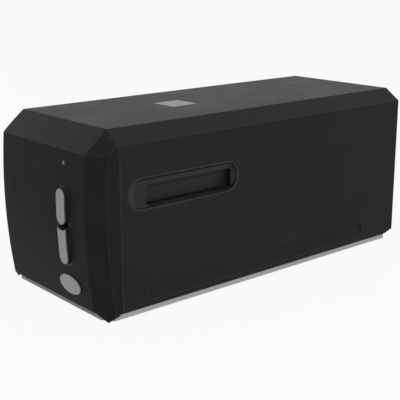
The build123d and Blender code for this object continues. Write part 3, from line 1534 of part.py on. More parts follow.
with BuildPart() as drive_pulley:
    pulley_body(-PULLEY_X)
    rod_y(PULLEY_RADIUS, PULLEY_REAR_Y, GEAR_FRONT_Y, -PULLEY_X, PULLEY_Z)
    with BuildSketch(facing_front(GEAR_REAR_Y)):
        with BuildLine():
            gear_outline(WHEEL_TEETH, WHEEL_ADDENDUM, -PULLEY_X, PULLEY_Z, GEAR_ANGLE)
        make_face()
    extrude(amount=GEAR_THICKNESS)
    rod_y(
        AXLE_RADIUS + RUN,
        PULLEY_FRONT_Y,
        GEAR_REAR_Y,
        -PULLEY_X,
        PULLEY_Z,
        mode=Mode.SUBTRACT,
    )
save(drive_pulley, "drive_pulley")

with BuildPart() as idler_pulley:
    pulley_body(PULLEY_X)
    rod_y(
        AXLE_RADIUS + RUN,
        PULLEY_FRONT_Y,
        PULLEY_REAR_Y,
        PULLEY_X,
        PULLEY_Z,
        mode=Mode.SUBTRACT,
    )
save(idler_pulley, "idler_pulley")

with BuildPart() as pulley_axles:
    for axle_x, shoulder_y in ((-PULLEY_X, GEAR_REAR_Y + GAP), (PULLEY_X, PULLEY_REAR_Y + GAP)):
        head_rear_y = PULLEY_FRONT_Y - GAP
        rod_y(AXLE_RADIUS, head_rear_y, BRACKET_REAR_Y, axle_x, PULLEY_Z)
        rod_y(AXLE_SHOULDER_RADIUS, head_rear_y - AXLE_HEAD, head_rear_y, axle_x, PULLEY_Z)
        rod_y(AXLE_SHOULDER_RADIUS, shoulder_y, BRACKET_Y, axle_x, PULLEY_Z)
save(pulley_axles, "pulley_axles")

with BuildPart() as drive_belt:
    belt_inner = PULLEY_RADIUS + SEAT
    belt_outer = belt_inner + BELT_THICKNESS
    with BuildSketch(facing_front(BELT_REAR_Y)):
        with Locations((0, PULLEY_Z)):
            SlotOverall(2 * (PULLEY_X + belt_outer), 2 * belt_outer)
            SlotOverall(2 * (PULLEY_X + belt_inner), 2 * belt_inner, mode=Mode.SUBTRACT)
    extrude(amount=BELT_WIDTH)
save(drive_belt, "drive_belt")

with BuildPart() as belt_clamp:
    run_low_z = PULLEY_Z + belt_inner
    run_high_z = PULLEY_Z + belt_outer
    block(
        (HOME_X - CLAMP_HALF, CARRIAGE_REAR_Y, run_low_z - GAP - CLAMP_JAW),
        (HOME_X + CLAMP_HALF, BELT_REAR_Y + GAP, run_high_z + GAP + CLAMP_JAW),
    )
    block(
        (HOME_X - CLAMP_HALF, BELT_FRONT_Y - GAP, run_low_z - GAP),
        (HOME_X + CLAMP_HALF, BELT_REAR_Y + GAP, run_high_z + GAP),
        mode=Mode.SUBTRACT,
    )
save(belt_clamp, "belt_clamp")

with BuildPart() as motor_pinion:
    with BuildSketch(facing_front(GEAR_REAR_Y)):
        with BuildLine():
            half_pitch = 180 / PINION_TEETH
            gear_outline(
                PINION_TEETH, PINION_ADDENDUM, MOTOR_X, MOTOR_Z, GEAR_ANGLE + 180 + half_pitch
            )
        make_face()
    extrude(amount=GEAR_THICKNESS)
    rod_y(MOTOR_SHAFT_RADIUS, GEAR_REAR_Y, BRACKET_REAR_Y + MOTOR_SHAFT_DEPTH, MOTOR_X, MOTOR_Z)
save(motor_pinion, "motor_pinion")

with BuildPart() as motor_bracket:
    leg_in_x = CHASSIS_X - BRACKET_LEG
    with BuildSketch(facing_front(BRACKET_REAR_Y)):
        with BuildLine():
            Polyline(
                (-CHASSIS_X, CHASSIS_FLOOR_Z),
                (-CHASSIS_X, BRACKET_HIGH_Z),
                (BRACKET_STEP_X, BRACKET_HIGH_Z),
                (BRACKET_STEP_X, BRACKET_RIGHT_Z),
                (CHASSIS_X, BRACKET_RIGHT_Z),
                (CHASSIS_X, CHASSIS_FLOOR_Z),
                (leg_in_x, CHASSIS_FLOOR_Z),
                (leg_in_x, BRACKET_LOW_Z),
                (-leg_in_x, BRACKET_LOW_Z),
                (-leg_in_x, CHASSIS_FLOOR_Z),
                close=True,
            )
        make_face()
    extrude(amount=SHEET)
    for side in (-1, 1):
        toe_low_x, toe_high_x = sorted((side * leg_in_x, side * CHASSIS_X))
        block(
            (toe_low_x, BRACKET_REAR_Y, CHASSIS_FLOOR_Z),
            (toe_high_x, BRACKET_REAR_Y + BRACKET_TOE, CHASSIS_FLOOR_Z + SHEET),
        )
        rod_y(
            AXLE_RADIUS + RUN,
            BRACKET_Y,
            BRACKET_REAR_Y,
            side * PULLEY_X,
            PULLEY_Z,
            mode=Mode.SUBTRACT,
        )
        rod_y(
            SCREW_RADIUS + SEAT,
            BRACKET_Y,
            BRACKET_REAR_Y,
            MOTOR_X,
            MOTOR_Z + side * MOTOR_EAR_REACH,
            mode=Mode.SUBTRACT,
        )
    rod_y(
        MOTOR_BOSS_RADIUS + SEAT,
        BRACKET_Y,
        BRACKET_REAR_Y,
        MOTOR_X,
        MOTOR_Z,
        mode=Mode.SUBTRACT,
    )
save(motor_bracket, "motor_bracket")

with BuildPart() as stepper_motor:
    rod_y(MOTOR_RADIUS, BRACKET_REAR_Y, BRACKET_REAR_Y + MOTOR_LENGTH, MOTOR_X, MOTOR_Z)
    rod_y(MOTOR_BOSS_RADIUS, BRACKET_Y + SEAT, BRACKET_REAR_Y, MOTOR_X, MOTOR_Z)
    with BuildSketch(facing_front(BRACKET_REAR_Y + SHEET)):
        with Locations((MOTOR_X, MOTOR_Z)):
            SlotOverall(
                2 * (MOTOR_EAR_REACH + MOTOR_EAR_RADIUS), 2 * MOTOR_EAR_RADIUS, rotation=90
            )
    extrude(amount=SHEET)
    rod_y(
        MOTOR_SHAFT_RADIUS + RUN,
        BRACKET_Y,
        BRACKET_REAR_Y + MOTOR_SHAFT_DEPTH + GAP,
        MOTOR_X,
        MOTOR_Z,
        mode=Mode.SUBTRACT,
    )
    for side in (-1, 1):
        rod_y(
            SCREW_RADIUS + SEAT,
            BRACKET_REAR_Y,
            BRACKET_REAR_Y + SHEET,
            MOTOR_X,
            MOTOR_Z + side * MOTOR_EAR_REACH,
            mode=Mode.SUBTRACT,
        )
save(stepper_motor, "stepper_motor")

motor_screw_plane = Plane(
    origin=(0, BRACKET_REAR_Y + SHEET, 0), x_dir=(-1, 0, 0), z_dir=(0, 1, 0)
)
motor_screw_places = [(-MOTOR_X, MOTOR_Z + side * MOTOR_EAR_REACH) for side in (-1, 1)]
motor_screws = screws(motor_screw_plane, motor_screw_places, MOTOR_SCREW_LENGTH)
save(motor_screws, "motor_screws")


# ---- electronics at the back ----

with BuildPart() as main_board:
    block(
        (-MAIN_BOARD_X, MAIN_BOARD_FRONT_Y, MAIN_BOARD_Z),
        (MAIN_BOARD_X, MAIN_BOARD_REAR_Y, MAIN_BOARD_TOP_Z),
    )
    for hole_x, hole_y in main_board_places:
        rod_z(
            SCREW_RADIUS + SEAT,
            MAIN_BOARD_Z,
            MAIN_BOARD_TOP_Z,
            hole_x,
            hole_y,
            mode=Mode.SUBTRACT,
        )
    with BuildSketch(Plane.XY.offset(MAIN_BOARD_TOP_Z)):
        with Locations((0, CHIP_Y)):
            with GridLocations(CHIP_PITCH, CHIP_PITCH, 2, 1):
                Rectangle(CHIP_SIZE, CHIP_SIZE)
    extrude(amount=CHIP_HEIGHT)
    with BuildSketch(Plane.XY.offset(MAIN_BOARD_TOP_Z)):
        with Locations((CAPACITOR_X, CAPACITOR_Y)):
            with GridLocations(CAPACITOR_PITCH, CAPACITOR_PITCH, 3, 1):
                Circle(CAPACITOR_RADIUS)
    extrude(amount=CAPACITOR_HEIGHT)
save(main_board, "main_board")

with BuildPart() as usb_socket:
    usb_middle_z = MAIN_BOARD_TOP_Z + USB_HEIGHT / 2
    usb_front_y = SOCKET_REAR_Y - USB_LENGTH
    block(
        (USB_X - USB_WIDTH / 2, usb_front_y, MAIN_BOARD_TOP_Z),
        (USB_X + USB_WIDTH / 2, SOCKET_REAR_Y, MAIN_BOARD_TOP_Z + USB_HEIGHT),
    )
    block(
        (
            USB_X - USB_CAVITY_X / 2,
            SOCKET_REAR_Y - SOCKET_CAVITY,
            usb_middle_z - USB_CAVITY_Z / 2,
        ),
        (USB_X + USB_CAVITY_X / 2, SOCKET_REAR_Y, usb_middle_z + USB_CAVITY_Z / 2),
        mode=Mode.SUBTRACT,
    )
    block(
        (
            USB_X - USB_TONGUE_X / 2,
            SOCKET_REAR_Y - SOCKET_CAVITY,
            usb_middle_z - USB_TONGUE_Z / 2,
        ),
        (USB_X + USB_TONGUE_X / 2, SOCKET_REAR_Y - SOCKET_RECESS, usb_middle_z + USB_TONGUE_Z / 2),
    )
save(usb_socket, "usb_socket")

with BuildPart() as power_inlet:
    inlet_middle_z = MAIN_BOARD_TOP_Z + POWER_INLET_HEIGHT / 2
    block(
        (
            POWER_INLET_X - POWER_INLET_WIDTH / 2,
            SOCKET_REAR_Y - POWER_INLET_LENGTH,
            MAIN_BOARD_TOP_Z,
        ),
        (
            POWER_INLET_X + POWER_INLET_WIDTH / 2,
            SOCKET_REAR_Y,
            MAIN_BOARD_TOP_Z + POWER_INLET_HEIGHT,
        ),
    )
    rod_y(
        POWER_INLET_BORE,
        SOCKET_REAR_Y - SOCKET_CAVITY,
        SOCKET_REAR_Y,
        POWER_INLET_X,
        inlet_middle_z,
        mode=Mode.SUBTRACT,
    )
    rod_y(
        POWER_INLET_PIN,
        SOCKET_REAR_Y - SOCKET_CAVITY,
        SOCKET_REAR_Y - SOCKET_RECESS,
        POWER_INLET_X,
        inlet_middle_z,
    )
save(power_inlet, "power_inlet")
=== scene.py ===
import json
from math import cos, pi, radians, sin

import bmesh
import bpy
from bpy.props import FloatProperty, FloatVectorProperty, IntProperty, PointerProperty
from bpy.types import Operator, Panel, PropertyGroup
from mathutils import Matrix, Vector


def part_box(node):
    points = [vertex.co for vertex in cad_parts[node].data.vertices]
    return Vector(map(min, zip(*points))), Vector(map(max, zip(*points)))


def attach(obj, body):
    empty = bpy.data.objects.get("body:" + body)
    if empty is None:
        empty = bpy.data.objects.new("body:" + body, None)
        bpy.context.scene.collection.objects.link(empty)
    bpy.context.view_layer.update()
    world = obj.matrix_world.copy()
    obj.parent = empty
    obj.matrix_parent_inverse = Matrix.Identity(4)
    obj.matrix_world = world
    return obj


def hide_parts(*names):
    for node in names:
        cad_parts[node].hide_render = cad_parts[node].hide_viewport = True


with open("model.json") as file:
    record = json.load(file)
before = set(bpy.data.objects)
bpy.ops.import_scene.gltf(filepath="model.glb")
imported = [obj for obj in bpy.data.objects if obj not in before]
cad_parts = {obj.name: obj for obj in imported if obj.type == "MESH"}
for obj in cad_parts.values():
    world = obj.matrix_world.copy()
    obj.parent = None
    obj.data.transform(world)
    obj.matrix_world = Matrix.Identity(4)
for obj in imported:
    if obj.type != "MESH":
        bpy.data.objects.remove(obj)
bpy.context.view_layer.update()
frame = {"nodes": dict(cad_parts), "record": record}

bl_info = {
    "name": "Desktop film scanner",
    "version": (1, 0, 0),
    "blender": (4, 5, 0),
    "location": "View3D > Sidebar > Film scanner",
    "description": "Finishes the film scanner's casing, controls, film path, optics and drive",
    "category": "Object",
}

NODES = frame["nodes"]
SLOT_OF_NODE = {part["node"]: part["material_slot"] for part in frame["record"]["subparts"]}
FIXED_BODY = "scanner"

# camera that took the photograph: lens in pixels of the square picture, metres and radians
PHOTO_PIXELS = 400
PHOTO_FOCAL_PIXELS = 886.25
SENSOR_WIDTH_MM = 36.0
CAMERA_CLIP_START = 0.01
CAMERA_PLACE = (0.471319, -0.405781, 0.214261)
CAMERA_AZIMUTH = 0.870051
CAMERA_ELEVATION = 0.266458
CAMERA_ROLL = -0.003278

# stage
LIGHT_TARGET = (0, 0, 0.06)
BEZEL_TARGET = (0, -0.1, 0.06)
FLOOR_RADIUS = 6.0
FLOOR_DROP = 0.0002        # keeps the floor clear of the feet that stand on it

# what every finish shares
MARK_SIZE = 0.035
MARK_AMOUNT = 0.8
WEAR_WIDTH = 0.0007
EDGE_ROUNDING = 0.0003
BEVEL_SAMPLES = 6
GRAIN_SHADE = 0.86         # the grain's hollows, as a share of the base colour
GRAIN_LIFT = 0.012         # how far each effect moves the base colour towards white
MARK_LIFT = 0.008
WEAR_LIFT = 0.3
DUST_COLOUR = (0.42, 0.41, 0.39)
SHEEN_SPREAD = 0.05        # how far the grain moves the roughness either way
MARK_POLISH = 0.06         # how much smoother a handled patch is

# relief heights of the smoother finishes
FINE_RELIEF = 0.00001
LACQUER_RELIEF = 0.000004

# belt and soldered parts
BELT_ARC_STEPS = 24
BELT_SLACK = 0.0002
SOLDERED_PART = (0.002, 0.00125, 0.0005)
MAIN_BOARD_TOP = 0.0136
MAIN_PARTS_Y = 0.094
BUTTON_PARTS_Z = 0.061


# ---- sizes and colours that a user may change ----

def colour(name, default):
    return FloatVectorProperty(
        name=name,
        description=f"Base colour: {name.lower()}",
        subtype="COLOR",
        size=3,
        min=0.0,
        max=1.0,
        default=default,
    )


def length(name, description, default):
    return FloatProperty(
        name=name, description=description, subtype="DISTANCE", unit="LENGTH", default=default
    )


def factor(name, description, default):
    return FloatProperty(
        name=name, description=description, subtype="FACTOR", min=0.0, max=1.0, default=default
    )


class CasingFinish(PropertyGroup):
    housing: colour("Housing black", (0.021, 0.021, 0.022))
    bezel: colour("Bezel black", (0.0145, 0.0145, 0.0155))
    tray: colour("Base tray gray", (0.62, 0.63, 0.63))
    badge: colour("Badge gray", (0.2, 0.2, 0.205))
    rubber: colour("Foot rubber", (0.02, 0.02, 0.02))
    roughness: factor("Casing roughness", "Sheen of the moulded casing", 0.46)
    bezel_roughness: factor("Bezel roughness", "Sheen of the moulded bezel", 0.42)
    gloss: factor("Casing gloss", "Strength of the casing's reflections", 0.03)
    dust: factor("Casing dust", "Dust on the casing's upper faces", 0.05)
    grain: length("Casing grain", "Size of the moulded grain", 0.0006)
    relief: length("Casing relief", "Height of the moulded grain", 0.00004)


class ControlFinish(PropertyGroup):
    key: colour("Key black", (0.012, 0.012, 0.013))
    plate: colour("Button silver", (0.25, 0.255, 0.265))
    lamp_lens: colour("Lamp lens", (0.32, 0.36, 0.33))
    diffuser: colour("Lamp diffuser", (0.82, 0.83, 0.8))
    plate_roughness: factor("Plate roughness", "Sheen of the silver buttons", 0.34)


class FilmPathFinish(PropertyGroup):
    trim: colour("Slot trim black", (0.011, 0.011, 0.012))
    guide: colour("Guide black", (0.018, 0.018, 0.018))
    spring_steel: colour("Spring steel", (0.42, 0.42, 0.43))
    spring_turns: IntProperty(
        name="Spring turns", description="Turns of each door spring", min=2, default=7
    )
    spring_radius: length("Spring radius", "Middle radius of the door springs", 0.00138)
    spring_wire: length("Spring wire", "Wire radius of the door springs", 0.00022)


class OpticsFinish(PropertyGroup):
    mirror: colour("Mirror silver", (0.9, 0.91, 0.92))
    barrel: colour("Barrel black", (0.03, 0.03, 0.032))
    glass: colour("Lens glass", (0.86, 0.9, 0.95))


class DriveFinish(PropertyGroup):
    gear: colour("Gear plastic", (0.72, 0.71, 0.66))
    steel: colour("Ground steel", (0.5, 0.5, 0.51))
    sheet: colour("Sheet steel", (0.46, 0.47, 0.48))
    bronze: colour("Sintered bronze", (0.42, 0.27, 0.12))
    motor: colour("Motor can", (0.352, 0.364, 0.376))
    belt_teeth: IntProperty(
        name="Belt teeth", description="Teeth on the drive belt", min=20, default=103
    )
    belt_radius: length("Belt radius", "Middle of the belt's band from the axle", 0.00702)
    belt_band: length("Belt band", "Thickness of the belt without its teeth", 0.00054)
    tooth_depth: length("Tooth depth", "Depth of the belt teeth", 0.0006)
    tooth_width: length("Tooth width", "Width of a belt tooth along the belt", 0.0009)


class BoardFinish(PropertyGroup):
    mask: colour("Board green", (0.012, 0.085, 0.035))
    copper: colour("Covered tracks", (0.03, 0.16, 0.07))
    component: colour("Component black", (0.012, 0.012, 0.012))
    part_seed: IntProperty(name="Part seed", description="Places of the small parts", default=7)
    part_share: factor("Part share", "Share of the grid places that carry a part", 0.55)


class StageFinish(PropertyGroup):
    floor: colour("Floor", (0.9, 0.9, 0.9))
    floor_glow: factor("Floor glow", "Share of plain white the camera sees on the floor", 0.93)
    world_light: FloatProperty(name="World light", description="Soft light all round", default=0.2)
    top_light: FloatProperty(name="Top light", description="Watts of the overhead light", default=3.0)
    side_light: FloatProperty(name="Side light", description="Watts of the side light", default=7.0)
    front_light: FloatProperty(name="Front light", description="Watts of the front light", default=0.2)
    left_light: FloatProperty(name="Left light", description="Watts of the left light", default=2.0)


# ---- node trees ----

def add_node(tree, kind, inputs=None, **settings):
    """Add a node, apply its settings, then link or set its inputs by name or index."""
    made = tree.nodes.new(kind)
    for setting, value in settings.items():
        setattr(made, setting, value)
    for key, value in (inputs or {}).items():
        if isinstance(value, bpy.types.NodeSocket):
            tree.links.new(value, made.inputs[key])
        else:
            made.inputs[key].default_value = value
    return made


def new_tree(name, kind, inputs, outputs):
    """Node group with named sockets, its input node and its output node."""
    tree = bpy.data.node_groups.new(name, kind)
    for label, socket_type, default in inputs:
        socket = tree.interface.new_socket(label, in_out="INPUT", socket_type=socket_type)
        if default is not None:
            socket.default_value = default
    for label, socket_type in outputs:
        tree.interface.new_socket(label, in_out="OUTPUT", socket_type=socket_type)
    return tree, tree.nodes.new("NodeGroupInput").outputs, tree.nodes.new("NodeGroupOutput")


def math_node(tree, operation, first, second):
    return add_node(tree, "ShaderNodeMath", {0: first, 1: second}, operation=operation).outputs[0]


def grain_group():
    """Fine grain or brushed lines, as a height and a spread for the roughness."""
    tree, given, end = new_tree(
        "Surface grain",
        "ShaderNodeTree",
        [
            ("Size", "NodeSocketFloat", 0.0006),
            ("Stretch", "NodeSocketVector", (1, 1, 1)),
        ],
        [("Height", "NodeSocketFloat"), ("Spread", "NodeSocketFloat")],
    )
    place = add_node(tree, "ShaderNodeTexCoord").outputs["Object"]
    stretched = add_node(
        tree, "ShaderNodeVectorMath", {0: place, 1: given["Stretch"]}, operation="MULTIPLY"
    ).outputs[0]
    scale = math_node(tree, "DIVIDE", 1.0, given["Size"])
    pebbles = add_node(
        tree, "ShaderNodeTexVoronoi", {"Vector": stretched, "Scale": scale}, feature="SMOOTH_F1"
    )
    speckle = add_node(
        tree, "ShaderNodeTexNoise", {"Vector": stretched, "Scale": scale, "Detail": 3.0}
    )
    height = math_node(tree, "ADD", pebbles.outputs["Distance"], speckle.outputs["Fac"])
    tree.links.new(height, end.inputs["Height"])
    tree.links.new(speckle.outputs["Fac"], end.inputs["Spread"])
    return tree


def marks_group():
    """Broad soft patches where hands and cloths have changed the sheen."""
    tree, given, end = new_tree(
        "Handling marks",
        "ShaderNodeTree",
        [("Size", "NodeSocketFloat", 0.04), ("Amount", "NodeSocketFloat", 0.5)],
        [("Mask", "NodeSocketFloat")],
    )
    place = add_node(tree, "ShaderNodeTexCoord").outputs["Object"]
    scale = math_node(tree, "DIVIDE", 1.0, given["Size"])
    cloud = add_node(
        tree,
        "ShaderNodeTexNoise",
        {"Vector": place, "Scale": scale, "Detail": 5.0, "Distortion": 0.6},
    )
    patch = add_node(
        tree,
        "ShaderNodeMapRange",
        {"Value": cloud.outputs["Fac"], "From Min": 0.42, "From Max": 0.7},
    )
    mask = math_node(tree, "MULTIPLY", patch.outputs["Result"], given["Amount"])
    tree.links.new(mask, end.inputs["Mask"])
    return tree


def wear_group():
    """Rubbed edges: where a rounded normal leaves the true one, broken up by noise."""
    tree, given, end = new_tree(
        "Edge wear",
        "ShaderNodeTree",
        [("Width", "NodeSocketFloat", 0.0006), ("Amount", "NodeSocketFloat", 0.5)],
        [("Mask", "NodeSocketFloat")],
    )
    rounded = add_node(tree, "ShaderNodeBevel", {"Radius": given["Width"]}, samples=BEVEL_SAMPLES)
    true_normal = add_node(tree, "ShaderNodeNewGeometry").outputs["True Normal"]
    agreement = add_node(
        tree, "ShaderNodeVectorMath", {0: rounded.outputs[0], 1: true_normal}, operation="DOT_PRODUCT"
    ).outputs["Value"]
    edge = add_node(
        tree,
        "ShaderNodeMapRange",
        {"Value": agreement, "From Min": 0.99, "From Max": 0.86},
    ).outputs["Result"]
    place = add_node(tree, "ShaderNodeTexCoord").outputs["Object"]
    chips = add_node(tree, "ShaderNodeTexNoise", {"Vector": place, "Scale": 260.0, "Detail": 4.0})
    broken = math_node(tree, "MULTIPLY", edge, chips.outputs["Fac"])
    mask = math_node(tree, "MULTIPLY", broken, given["Amount"])
    tree.links.new(mask, end.inputs["Mask"])
    return tree


def dust_group():
    """Thin dust that lies on faces that look up."""
    tree, given, end = new_tree(
        "Settled dust",
        "ShaderNodeTree",
        [("Amount", "NodeSocketFloat", 0.1)],
        [("Mask", "NodeSocketFloat")],
    )
    normal = add_node(tree, "ShaderNodeNewGeometry").outputs["True Normal"]
    up = add_node(tree, "ShaderNodeSeparateXYZ", {0: normal}).outputs["Z"]
    flat = add_node(
        tree, "ShaderNodeMapRange", {"Value": up, "From Min": 0.5, "From Max": 1.0}
    ).outputs["Result"]
    place = add_node(tree, "ShaderNodeTexCoord").outputs["Object"]
    specks = add_node(tree, "ShaderNodeTexNoise", {"Vector": place, "Scale": 900.0, "Detail": 6.0})
    patchy = math_node(tree, "MULTIPLY", flat, specks.outputs["Fac"])
    mask = math_node(tree, "MULTIPLY", patchy, given["Amount"])
    tree.links.new(mask, end.inputs["Mask"])
    return tree


def tracks_group():
    """Copper tracks under a circuit board's lacquer, Track being their share of the pitch."""
    tree, given, end = new_tree(
        "Board tracks",
        "ShaderNodeTree",
        [("Pitch", "NodeSocketFloat", 0.0022), ("Track", "NodeSocketFloat", 0.09)],
        [("Mask", "NodeSocketFloat")],
    )
    place = add_node(tree, "ShaderNodeTexCoord").outputs["Object"]
    scale = math_node(tree, "DIVIDE", 1.0, given["Pitch"])
    cells = add_node(
        tree,
        "ShaderNodeTexVoronoi",
        {"Vector": place, "Scale": scale},
        feature="DISTANCE_TO_EDGE",
        distance="EUCLIDEAN",
    )
    mask = math_node(tree, "LESS_THAN", cells.outputs["Distance"], given["Track"])
    tree.links.new(mask, end.inputs["Mask"])
    return tree


def use_group(tree, name, **values):
    """Place a shared group in a material with its own values."""
    placed = tree.nodes.new("ShaderNodeGroup")
    placed.node_tree = bpy.data.node_groups[name]
    for label, value in values.items():
        placed.inputs[label].default_value = value
    return placed.outputs


def mixed(tree, mask, below, above):
    """Colour below where the mask is 0 and above where it is 1."""
    made = add_node(tree, "ShaderNodeMix", {"Factor": mask}, data_type="RGBA")
    for index, value in ((6, below), (7, above)):
        if isinstance(value, bpy.types.NodeSocket):
            tree.links.new(value, made.inputs[index])
        else:
            made.inputs[index].default_value = (*value, 1.0)
    return made.outputs[2]


def lifted(base, amount):
    """The same colour, moved towards white."""
    return [channel + amount * (1.0 - channel) for channel in base]


def finish(
    name, base, roughness, grain=0.0006, relief=0.00003, stretch=(1, 1, 1), wear=0.3, dust=0.08,
    tracks=None, **shader
):
    """Procedural material: grain, handling marks, rubbed edges and settled dust."""
    material = bpy.data.materials.new(name)
    material.use_nodes = True
    tree = material.node_tree
    principled = tree.nodes["Principled BSDF"]
    grained = use_group(tree, "Surface grain", Size=grain, Stretch=stretch)
    marked = use_group(tree, "Handling marks", Size=MARK_SIZE, Amount=MARK_AMOUNT)["Mask"]
    rubbed = use_group(tree, "Edge wear", Width=WEAR_WIDTH, Amount=wear)["Mask"]
    dusty = use_group(tree, "Settled dust", Amount=dust)["Mask"]
    hollows = [GRAIN_SHADE * channel for channel in base]
    tint = mixed(tree, grained["Spread"], hollows, lifted(base, GRAIN_LIFT))
    if tracks is not None:
        tint = mixed(tree, use_group(tree, "Board tracks")["Mask"], tint, tracks)
    tint = mixed(tree, marked, tint, lifted(base, MARK_LIFT))
    tint = mixed(tree, rubbed, tint, lifted(base, WEAR_LIFT))
    tint = mixed(tree, dusty, tint, DUST_COLOUR)
    tree.links.new(tint, principled.inputs["Base Color"])
    sheen = add_node(
        tree,
        "ShaderNodeMapRange",
        {
            "Value": grained["Spread"],
            "To Min": roughness - SHEEN_SPREAD,
            "To Max": roughness + SHEEN_SPREAD,
        },
    ).outputs["Result"]
    sheen = math_node(tree, "SUBTRACT", sheen, math_node(tree, "MULTIPLY", marked, MARK_POLISH))
    tree.links.new(sheen, principled.inputs["Roughness"])
    rounded = add_node(tree, "ShaderNodeBevel", {"Radius": EDGE_ROUNDING}, samples=BEVEL_SAMPLES)
    bump = add_node(
        tree,
        "ShaderNodeBump",
        {"Height": grained["Height"], "Distance": relief, "Normal": rounded.outputs[0]},
    )
    tree.links.new(bump.outputs[0], principled.inputs["Normal"])
    for label, value in shader.items():
        principled.inputs[label.replace("_", " ")].default_value = value
    return material


def metal(name, base, roughness, stretch=(1, 1, 1), **settings):
    return finish(
        name, base, roughness, grain=0.0005, relief=FINE_RELIEF, stretch=stretch, wear=0.15,
        dust=0.03, Metallic=1.0, **settings
    )


def paint(slot, material):
    """Give the material to every CAD node of the record's slot."""
    painted = [name for name, its_slot in SLOT_OF_NODE.items() if its_slot == slot]
    if not painted:
        raise RuntimeError(f"no node has the slot {slot}")
    for name in painted:
        paint_node(name, material)


def paint_node(name, material):
    mesh = NODES[name].data
    mesh.materials.clear()
    mesh.materials.append(material)


# ---- pieces grown by node trees ----

def grow(name, source, tree, values, material, body, replaced=()):
    """Run a geometry node tree once and keep its result as a plain mesh on a body."""
    seed = bpy.data.objects.new(f"{name}_seed", source)
    bpy.context.scene.collection.objects.link(seed)
    modifier = seed.modifiers.new("grow", "NODES")
    modifier.node_group = tree
    values = {**values, "Material": material}
    for item in tree.interface.items_tree:
        if item.item_type == "SOCKET" and item.in_out == "INPUT" and item.name in values:
            modifier[item.identifier] = values[item.name]
    depsgraph = bpy.context.evaluated_depsgraph_get()
    mesh = bpy.data.meshes.new_from_object(seed.evaluated_get(depsgraph), depsgraph=depsgraph)
    bpy.data.objects.remove(seed)
    if not mesh.polygons:
        raise RuntimeError(f"{name} came out empty")
    shell = bmesh.new()
    shell.from_mesh(mesh)
    bmesh.ops.recalc_face_normals(shell, faces=shell.faces)
    shell.to_mesh(mesh)
    shell.free()
    mesh.materials.clear()
    mesh.materials.append(material)
    piece = bpy.data.objects.new(name, mesh)
    bpy.context.scene.collection.objects.link(piece)
    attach(piece, body)
    if replaced:
        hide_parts(*replaced)
    return piece


def close_tree(tree, geometry, material, end):
    """Realize, then set the material."""
    real = add_node(tree, "GeometryNodeRealizeInstances", {"Geometry": geometry})
    dressed = add_node(
        tree, "GeometryNodeSetMaterial", {"Geometry": real.outputs[0], "Material": material}
    )
    tree.links.new(dressed.outputs[0], end.inputs["Geometry"])


def coil_tree():
    """A wire coil along Y."""
    tree, given, end = new_tree(
        "Door spring coil",
        "GeometryNodeTree",
        [
            ("Turns", "NodeSocketFloat", 7.0),
            ("Coil Radius", "NodeSocketFloat", 0.0014),
            ("Coil Length", "NodeSocketFloat", 0.0045),
            ("Wire Radius", "NodeSocketFloat", 0.0002),
            ("Place", "NodeSocketVector", (0, 0, 0)),
            ("Material", "NodeSocketMaterial", None),
        ],
        [("Geometry", "NodeSocketGeometry")],
    )
    spiral = add_node(
        tree,
        "GeometryNodeCurveSpiral",
        {
            "Resolution": 20,
            "Rotations": given["Turns"],
            "Start Radius": given["Coil Radius"],
            "End Radius": given["Coil Radius"],
            "Height": given["Coil Length"],
        },
    )
    wire = add_node(
        tree, "GeometryNodeCurvePrimitiveCircle", {"Resolution": 8, "Radius": given["Wire Radius"]}
    )
    tube = add_node(
        tree,
        "GeometryNodeCurveToMesh",
        {"Curve": spiral.outputs[0], "Profile Curve": wire.outputs[0], "Fill Caps": True},
    )
    placed = add_node(
        tree,
        "GeometryNodeTransform",
        {"Geometry": tube.outputs[0], "Translation": given["Place"], "Rotation": (-pi / 2, 0, 0)},
    )
    close_tree(tree, placed.outputs[0], given["Material"], end)
    return tree


def belt_tree():
    """A band along the given loop, with teeth on its inner side."""
    tree, given, end = new_tree(
        "Toothed belt",
        "GeometryNodeTree",
        [
            ("Geometry", "NodeSocketGeometry", None),
            ("Teeth", "NodeSocketInt", 103),
            ("Band", "NodeSocketFloat", 0.0005),
            ("Belt Width", "NodeSocketFloat", 0.006),
            ("Tooth Depth", "NodeSocketFloat", 0.0006),
            ("Tooth Width", "NodeSocketFloat", 0.0009),
            ("Material", "NodeSocketMaterial", None),
        ],
        [("Geometry", "NodeSocketGeometry")],
    )
    section = add_node(
        tree,
        "GeometryNodeCurvePrimitiveQuadrilateral",
        {"Width": given["Belt Width"], "Height": given["Band"]},
    )
    band = add_node(
        tree,
        "GeometryNodeCurveToMesh",
        {"Curve": given["Geometry"], "Profile Curve": section.outputs[0]},
    )
    places = add_node(
        tree, "GeometryNodeCurveToPoints", {"Curve": given["Geometry"], "Count": given["Teeth"]},
        mode="COUNT",
    )
    size = add_node(
        tree,
        "ShaderNodeCombineXYZ",
        {0: given["Tooth Width"], 1: given["Belt Width"], 2: given["Tooth Depth"]},
    )
    tooth = add_node(tree, "GeometryNodeMeshCube", {"Size": size.outputs[0]})
    reach = math_node(tree, "MULTIPLY", math_node(tree, "ADD", given["Band"], given["Tooth Depth"]), 0.5)
    inwards = add_node(tree, "ShaderNodeCombineXYZ", {2: reach})
    set_in = add_node(
        tree, "GeometryNodeTransform", {"Geometry": tooth.outputs[0], "Translation": inwards.outputs[0]}
    )
    turned = add_node(
        tree, "FunctionNodeAlignRotationToVector", {"Vector": places.outputs["Tangent"]},
        axis="X", pivot_axis="Y",
    )
    teeth = add_node(
        tree,
        "GeometryNodeInstanceOnPoints",
        {"Points": places.outputs["Points"], "Instance": set_in.outputs[0], "Rotation": turned.outputs[0]},
    )
    joined = add_node(tree, "GeometryNodeJoinGeometry")
    tree.links.new(teeth.outputs[0], joined.inputs[0])
    tree.links.new(band.outputs[0], joined.inputs[0])
    close_tree(tree, joined.outputs[0], given["Material"], end)
    return tree


